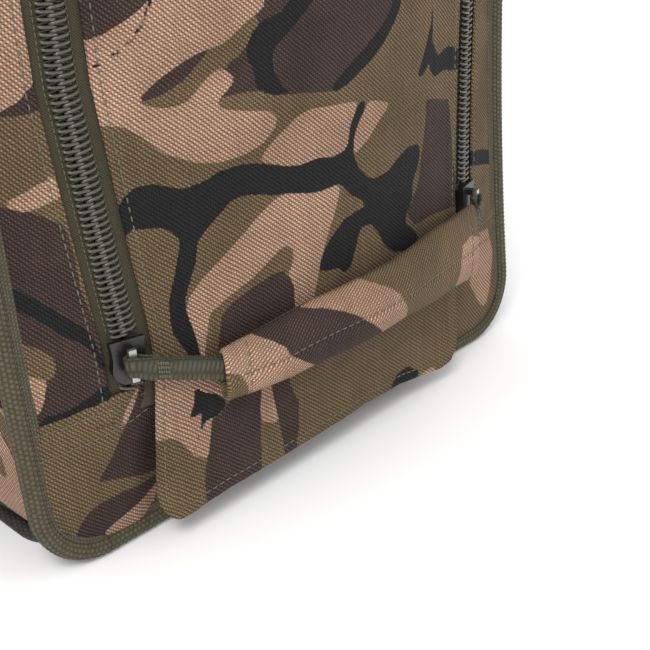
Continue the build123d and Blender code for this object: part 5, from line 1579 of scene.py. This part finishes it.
V, F, C = sweep(Pm, np.array([0, 1.0, 0]), sec, scale=1 - 0.10 * np.exp(-(np.minimum(np.arange(len(Pm)), len(Pm) - 1 - np.arange(len(Pm))) / 2.5) ** 2))
f = {k: v.ravel() for k, v in free_camo(V, 23).items()}
cg = make("carry_handle_grip", V, F, CAMO, "carry_handle", {"cloth": C, **f})
for i, (x0, x1) in enumerate(((-58, -30), (30, 58))):
    z = np.linspace(420, 446, 14)
    strap_piece(f"carry_anchor_patch_{i}", np.stack([np.full_like(z, (x0 + x1) / 2), np.full_like(z, 121.0), z], -1), np.array([0, 1.0, 0]), 28, 1.6, PLAIN, "bag",
                ("carry_anchor",) if i == 0 else (), step=1.5)
x = np.linspace(-30, 30, 30)
strap_piece("carry_anchor_band", np.stack([x, np.full_like(x, 121.0), np.full_like(x, 434.0)], -1), np.array([0, 1.0, 0]), 16, 1.5, WEBBING, "bag", step=1.5)


# ------------------------------------------------------------------ shoulder harness
def strap_y(z):
    u = np.clip((np.asarray(z, float) - 128.0) / 290.0, 0, 1)
    return 124.0 + 34.0 * np.sin(PI * u) ** 0.9


for sign, side in ((-1, "left"), (1, "right")):
    z = np.linspace(150.5, 417.5, 150)
    u = (z - 150) / 268.0
    xc = (96 + (88 - 96) * u + 16 * np.sin(PI * u)) * sign
    w = 46 + (60 - 46) * np.minimum(1, u * 1.8)
    e = np.minimum(z - 150.5, 417.5 - z)
    w = w * np.sqrt(np.clip(1 - np.clip(1 - e / 14, 0, 1) ** 2, 0.12, 1))
    P = np.stack([xc, strap_y(z) + 6.0, z], -1)
    m = 44
    a = np.linspace(0, 2 * PI, m, endpoint=False)
    c, sn = np.cos(a), np.sin(a)
    secx = np.sign(c) * np.abs(c) ** (2 / 2.7)
    secy = np.sign(sn) * np.abs(sn) ** (2 / 2.3)
    chan = 0.75 + 0.25 * smooth(np.abs(z[:, None] % 44 - 22), 1, 9) * 0 + 0.25
    th = (6.0 + 0.4 * np.sin(z / 9.0))[:, None] * np.ones((1, m))
    # sewn channels across the inner face
    cut = np.exp(-(((z[:, None] - 150) % 38 - 19) / 2.4) ** 2)
    th = th - np.where(sn[None] < 0, 1.8 * cut, 0.0)
    sec = np.stack([secx[None] * w[:, None] / 2, secy[None] * th * np.sqrt(np.clip(w / 46, 0.2, 1))[:, None]], -1)
    V, F, C = sweep(P, np.array([0, 1.0, 0]), sec)
    # cloth across the real width
    cl = np.stack([V[:, 0], V[:, 2], 0 * V[:, 0]], -1) / 1000
    f = {k: v.ravel() for k, v in free_camo(V, 29 + sign).items()}
    o = make(f"{side}_shoulder_pad", V, F, CAMO, "bag", {"cloth": cl, **f})
    o.data.materials.append(MESH)
    T, Nn, B = frames(P, np.array([0, 1.0, 0]))
    cen = np.repeat(P, m, 0)
    nrm = np.repeat(Nn, m, 0)
    inner = ((V - cen) * nrm).sum(1) < -0.3
    mi = np.array([1 if all(inner[i] for i in p.vertices) else 0 for p in o.data.polygons], np.int32)
    o.data.polygons.foreach_set("material_index", mi)
    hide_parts(f"{side}_strap_pad")
    parts = []
    st = []
    for sg in (-1, 1):
        q = P + B * (sg * w / 2)[:, None]
        parts.append(sweep(q, B * sg, band_section(6.5, 1.6, 5)))
        q2 = P + B * (sg * (w / 2 - 5.0))[:, None] + Nn * 5.6
        st.append(stitch_mesh(q2[6:-6], Nn[6:-6], lift=0.3))
    V, F, C = join(parts)
    make(f"{side}_shoulder_binding", V, F, BINDING, "bag", {"cloth": C})
    V, F, C = join(st)
    make(f"{side}_shoulder_stitch", V, F, THREAD, "bag", {"cloth": C})
    # daisy webbing down the outer face, which carries the ring keeper
    k = (z > 168) & (z < 405)
    q = np.stack([xc[k], strap_y(z[k]) + 12.2, z[k]], -1)
    strap_piece(f"{side}_shoulder_web", q, Nn[k], 19, 1.4, WEBBING, "bag", step=2.0)
    # sewn root
    zr = np.linspace(389, 435, 20)
    strap_piece(f"{side}_strap_root", np.stack([np.full_like(zr, 88.0 * sign), np.full_like(zr, 122.0), zr], -1), np.array([0, 1.0, 0]), 56, 2.8, PLAIN, "bag",
                ("strap_roots",) if sign < 0 else (), step=2.0, edge_stitch=4)
    # lower webbing, its tail and its corner tab
    an = np.array([126.0 * sign, 123.0, 34.0])
    lly = float(strap_y(150.0)) + 6.0
    tp = np.array([96.0 * sign, lly - 4.6, 129.0])
    k = np.linspace(0, 1, 40)[:, None]
    q = an + (tp - an) * k
    strap_piece(f"{side}_lower_web", q, np.array([0, 1.0, 0]), 24.5, 1.6, WEBBING, "bag", (f"{side}_strap_webbing",), step=2.0)
    zt = np.linspace(75, 136.5, 40)
    yy = lly + 3.9 + 2.0 * np.sin((zt - 75) / 62 * PI) * 0.5
    strap_piece(f"{side}_tail_web", np.stack([np.full_like(zt, 96.0 * sign), yy, zt], -1), np.array([0, 1.0, 0]), 24.4, 1.5, WEBBING, "bag", (f"{side}_webbing_tail",), step=2.0)
    # folded end of the tail
    x_ = np.linspace(-11.5, 11.5, 12)
    strap_piece(f"{side}_tail_hem", np.stack([96.0 * sign + x_, np.full_like(x_, lly + 4.0), np.full_like(x_, 78.5)], -1), np.array([0, 1.0, 0]), 9.0, 3.0, WEBBING, "bag", step=1.5)
    # keeper of the D ring: a band sewn to the strap with its loop round the ring's bar
    xr, dy = 106.0 * sign, float(strap_y(262.0)) + 12.0
    zk = np.linspace(255, 277, 16)
    ry = dy + 3.7
    loop = [(dy + 1.4, 254.5), (dy + 1.4, 262.0)]
    for tt in np.linspace(-0.80 * PI, 0.80 * PI, 22):
        loop.append((ry + 2.6 * math.cos(tt), 267.0 + 2.6 * math.sin(tt)))
    loop += [(dy + 1.5, 272.0), (dy + 1.5, 277.5)]
    q = np.array([(xr, a, b) for a, b in loop])
    q = resample(q, 0.8)
    T = np.gradient(q, axis=0)
    T /= np.linalg.norm(T, axis=1, keepdims=True)
    nn = np.cross(T, np.array([1.0, 0, 0]))
    V, F, C = sweep(q, nn, band_section(14.0, 1.1, 7))
    o = make(f"{side}_ring_loop", V, F, WEBBING, "bag", {"cloth": C})
    if sign < 0:
        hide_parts("ring_keepers")
    # corner tab
    P4 = np.array([(108, 12), (143, 14), (143, 46), (126, 42)], float)
    uu, vv = np.meshgrid(np.linspace(0, 1, 16), np.linspace(0, 1, 16), indexing="ij")
    q = (1 - uu)[..., None] * ((1 - vv)[..., None] * P4[0] + vv[..., None] * P4[3]) + uu[..., None] * ((1 - vv)[..., None] * P4[1] + vv[..., None] * P4[2])
    ed = np.minimum(np.minimum(uu, 1 - uu), np.minimum(vv, 1 - vv))
    yo = 122.2 + 0.5 * np.sqrt(np.clip(1 - np.clip(1 - ed / 0.06, 0, 1) ** 2, 0, 1))
    A = np.stack([q[..., 0] * sign, yo, q[..., 1]], -1)
    B = np.stack([q[..., 0] * sign, 120.3 + 0 * yo, q[..., 1]], -1)
    V, F = two_sided(A, B)
    cl = (np.stack([q[..., 0], q[..., 1], 0 * uu], -1)).reshape(-1, 3) / 1000
    o = make(f"{side}_anchor_tab", V, F, PLAIN, "bag", {"cloth": np.vstack([cl, cl])})
    if sign < 0:
        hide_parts("anchor_tabs")

# chest strap: fixed on the left, adjusting on the right
CZ = 318.0
cyy = float(strap_y(CZ)) + 14.2 + 0.8
x = np.linspace(-108, -26.5, 60)
strap_piece("chest_web_left", np.stack([x, cyy + 1.2 * np.sin((x + 108) / 82 * PI) * 0.3, np.full_like(x, CZ)], -1), np.array([0, 1.0, 0]), 19, 1.5, WEBBING, "bag", ("chest_webbing_left",))
x = np.linspace(22.5, 108, 60)
V, F, C = sweep(np.stack([x, cyy + 0.4 * np.sin((x - 22) / 86 * PI), np.full_like(x, CZ)], -1), np.array([0, 1.0, 0]), band_section(19, 1.5, 9))
o = make("chest_web_right", V, F, WEBBING, "bag", {"cloth": C})
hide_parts("chest_webbing_right")
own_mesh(o)


# ------------------------------------------------------------------ side pockets
def pocket_path(inset, sign, n=90):
    x0, x1, y0, y1 = 148.3, 184.0 - inset, 8.0 + inset * 0.9, 99.0 - inset * 0.9
    r = max(18.0 - inset, 1.5)
    r = min(r, (x1 - x0) * 0.95, (y1 - y0) / 2 * 0.95)
    P, N = [], []
    for x in np.linspace(x0, x1 - r, 16, endpoint=False):
        P.append((x, y0)); N.append((0, -1))
    for t in np.linspace(-PI / 2, 0, 14, endpoint=False):
        P.append((x1 - r + r * math.cos(t), y0 + r + r * math.sin(t))); N.append((math.cos(t), math.sin(t)))
    for y in np.linspace(y0 + r, y1 - r, 34, endpoint=False):
        P.append((x1, y)); N.append((1, 0))
    for t in np.linspace(0, PI / 2, 14, endpoint=False):
        P.append((x1 - r + r * math.cos(t), y1 - r + r * math.sin(t))); N.append((math.cos(t), math.sin(t)))
    for x in np.linspace(x1 - r, x0, 17):
        P.append((x, y1)); N.append((0, 1))
    P, N = np.array(P), np.array(N, float)
    P[:, 0] *= sign
    N[:, 0] *= sign
    return P, N


for sign, side in ((-1, "left"), (1, "right")):
    rows_o, rows_i = [], []
    zs = []
    for k in np.linspace(0, 1, 9, endpoint=False):
        rows_o.append((pocket_path(33.0 - 23.0 * k, sign), 8.0)); zs.append(8.0)
    for t in np.linspace(0, PI / 2, 10, endpoint=False):
        rows_o.append((pocket_path(10 * (1 - math.sin(t)), sign), 8 + 10 * (1 - math.cos(t)))); zs.append(8 + 10 * (1 - math.cos(t)))
    for z in np.linspace(18, 178.2, 70):
        rows_o.append((pocket_path(0.0, sign), z)); zs.append(z)
    G, Gi, NN = [], [], []
    for (P, N), z in rows_o:
        q = (z - 8) / 170
        P3 = np.column_stack([P, np.full(len(P), z)])
        N3 = np.column_stack([N, 0 * N[:, 0]])
        frac = np.linspace(0, 1, len(P))
        free = np.sin(PI * frac) ** 0.6
        d = (2.8 * math.sin(PI * min(q, 1)) ** 0.8 - 1.4 * smooth(q, 0.8, 1.0)) * free
        d = d + 0.8 * noise(P3, 34, 121) * free * min(1, q * 4)
        d = d + 0.9 * np.sin(frac * 74 + 0.7 * np.sin(frac * 31)) * smooth(q, 0.82, 1.0) * free
        G.append(P3 + N3 * d[:, None])
        inn = N3 * (d[:, None] - 1.6)
        Q = P3 + inn
        Q[:, 2] += 1.6 * (1 - smooth(z, 8, 18))
        Gi.append(Q)
        NN.append(N3)
    G, Gi = np.stack(G), np.stack(Gi)
    V, F = two_sided(G, Gi)
    f = {k: v.ravel() for k, v in free_camo(G, 37 + sign).items()}
    La = arclen(np.column_stack([pocket_path(0, sign)[0], np.zeros(95)]))
    rowlen = np.concatenate([[0], np.cumsum(np.linalg.norm(np.diff(G[:, 47], axis=0), axis=1))])
    cl = np.stack([np.broadcast_to(La[None], G.shape[:2]), np.broadcast_to(rowlen[:, None], G.shape[:2]), np.zeros(G.shape[:2])], -1).reshape(-1, 3) / 1000
    o = make(f"{side}_pocket_cloth", V, F, CAMO, "bag", {"cloth": np.vstack([cl, cl]), **both(f)})
    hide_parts(f"{side}_side_pocket")
    # bound elastic rim, gathered
    P, N = pocket_path(0.0, sign)
    frac = np.linspace(0, 1, len(P))
    free = np.sin(PI * frac) ** 0.6
    Pd = resample(np.column_stack([P + N * (0.6 * free)[:, None] - N * 0.9, np.full(len(P), 182.4)]), 1.2)
    fr = np.linspace(0, 1, len(Pd))
    Nr = np.stack([np.interp(fr, frac, N[:, 0]), np.interp(fr, frac, N[:, 1]), 0 * fr], -1)
    T, Nn, B = frames(Pd, Nr)
    rip = 0.5 * np.sin(fr * 190)
    sec0 = band_section(9.6, 3.0, 6)
    V, F, C = sweep(Pd + Nn * (rip * 0.5)[:, None], Nr, sec0, scale=1 + 0.05 * np.sin(fr * 190))
    o = make(f"{side}_pocket_binding", V, F, BINDING, "bag", {"cloth": C})
    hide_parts(f"{side}_pocket_rim")
    q = Pd + Nn * 1.55
    V, F, C = stitch_mesh(q + np.array([0, 0, -2.6]), Nn, lift=0.3)
    make(f"{side}_pocket_rim_stitch", V, F, THREAD, "bag", {"cloth": C})
    # seam down both sides of the pocket, a little off the bag's wall
    parts = []
    for idx in (3, -4):
        L = G[14:, idx]
        parts.append(stitch_mesh(L, np.array([0, -1.0 if idx > 0 else 1.0, 0]), lift=0.3))
    V, F, C = join(parts)
    make(f"{side}_pocket_side_stitch", V, F, THREAD, "bag", {"cloth": C})

# ------------------------------------------------------------------ floor, light and camera
bpy.ops.mesh.primitive_plane_add(size=8.0, location=(0, 0, -0.0002))
floor = bpy.context.object
floor.name = "studio_floor"
kf = Nodes("studio_floor")
kf.set("Base Color", (0.93, 0.93, 0.93, 1))
kf.set("Roughness", 0.9)
kf.set("Specular IOR Level", 0.1)
floor.data.materials.append(kf.mat)

w = bpy.data.worlds.new("studio")
bpy.context.scene.world = w
w.use_nodes = True
bg = w.node_tree.nodes["Background"]
bg.inputs[0].default_value = (1.0, 1.0, 1.0, 1.0)
bg.inputs[1].default_value = 0.92


def area(name, loc, target, size, power, color=(1, 1, 1)):
    l = bpy.data.lights.new(name, "AREA")
    l.shape = "RECTANGLE"
    l.size, l.size_y = size
    l.energy = power
    l.color = color
    o = bpy.data.objects.new(name, l)
    o.location = loc
    o.rotation_euler = (Vector(target) - Vector(loc)).to_track_quat("-Z", "Y").to_euler()
    bpy.context.scene.collection.objects.link(o)
    return o


area("key", (-0.95, -0.75, 1.40), (0, 0, 0.15), (0.6, 0.6), 17.0)
area("fill", (1.2, -1.3, 0.7), (0, 0, 0.2), (1.2, 1.0), 5.0)
area("back", (0.3, 1.5, 1.4), (0, 0, 0.3), (1.4, 1.0), 9.0)

cam = bpy.data.cameras.new("camera")
cam.lens = 71.3
cam.sensor_width = 36.0
cam.clip_start = 0.01
co = bpy.data.objects.new("camera", cam)
Rv, Uv_, Fv = Vector((0.69473, -0.71922, -0.00865)), Vector((0.35450, 0.33192, 0.87416)), Vector((0.62584, 0.61038, -0.48555))
M = Matrix((( Rv.x, Uv_.x, -Fv.x, -0.34904), (Rv.y, Uv_.y, -Fv.y, -0.44876), (Rv.z, Uv_.z, -Fv.z, 0.33144), (0, 0, 0, 1)))
co.matrix_world = M
bpy.context.scene.collection.objects.link(co)
bpy.context.scene.camera = co
bpy.context.scene.view_settings.view_transform = "Standard"
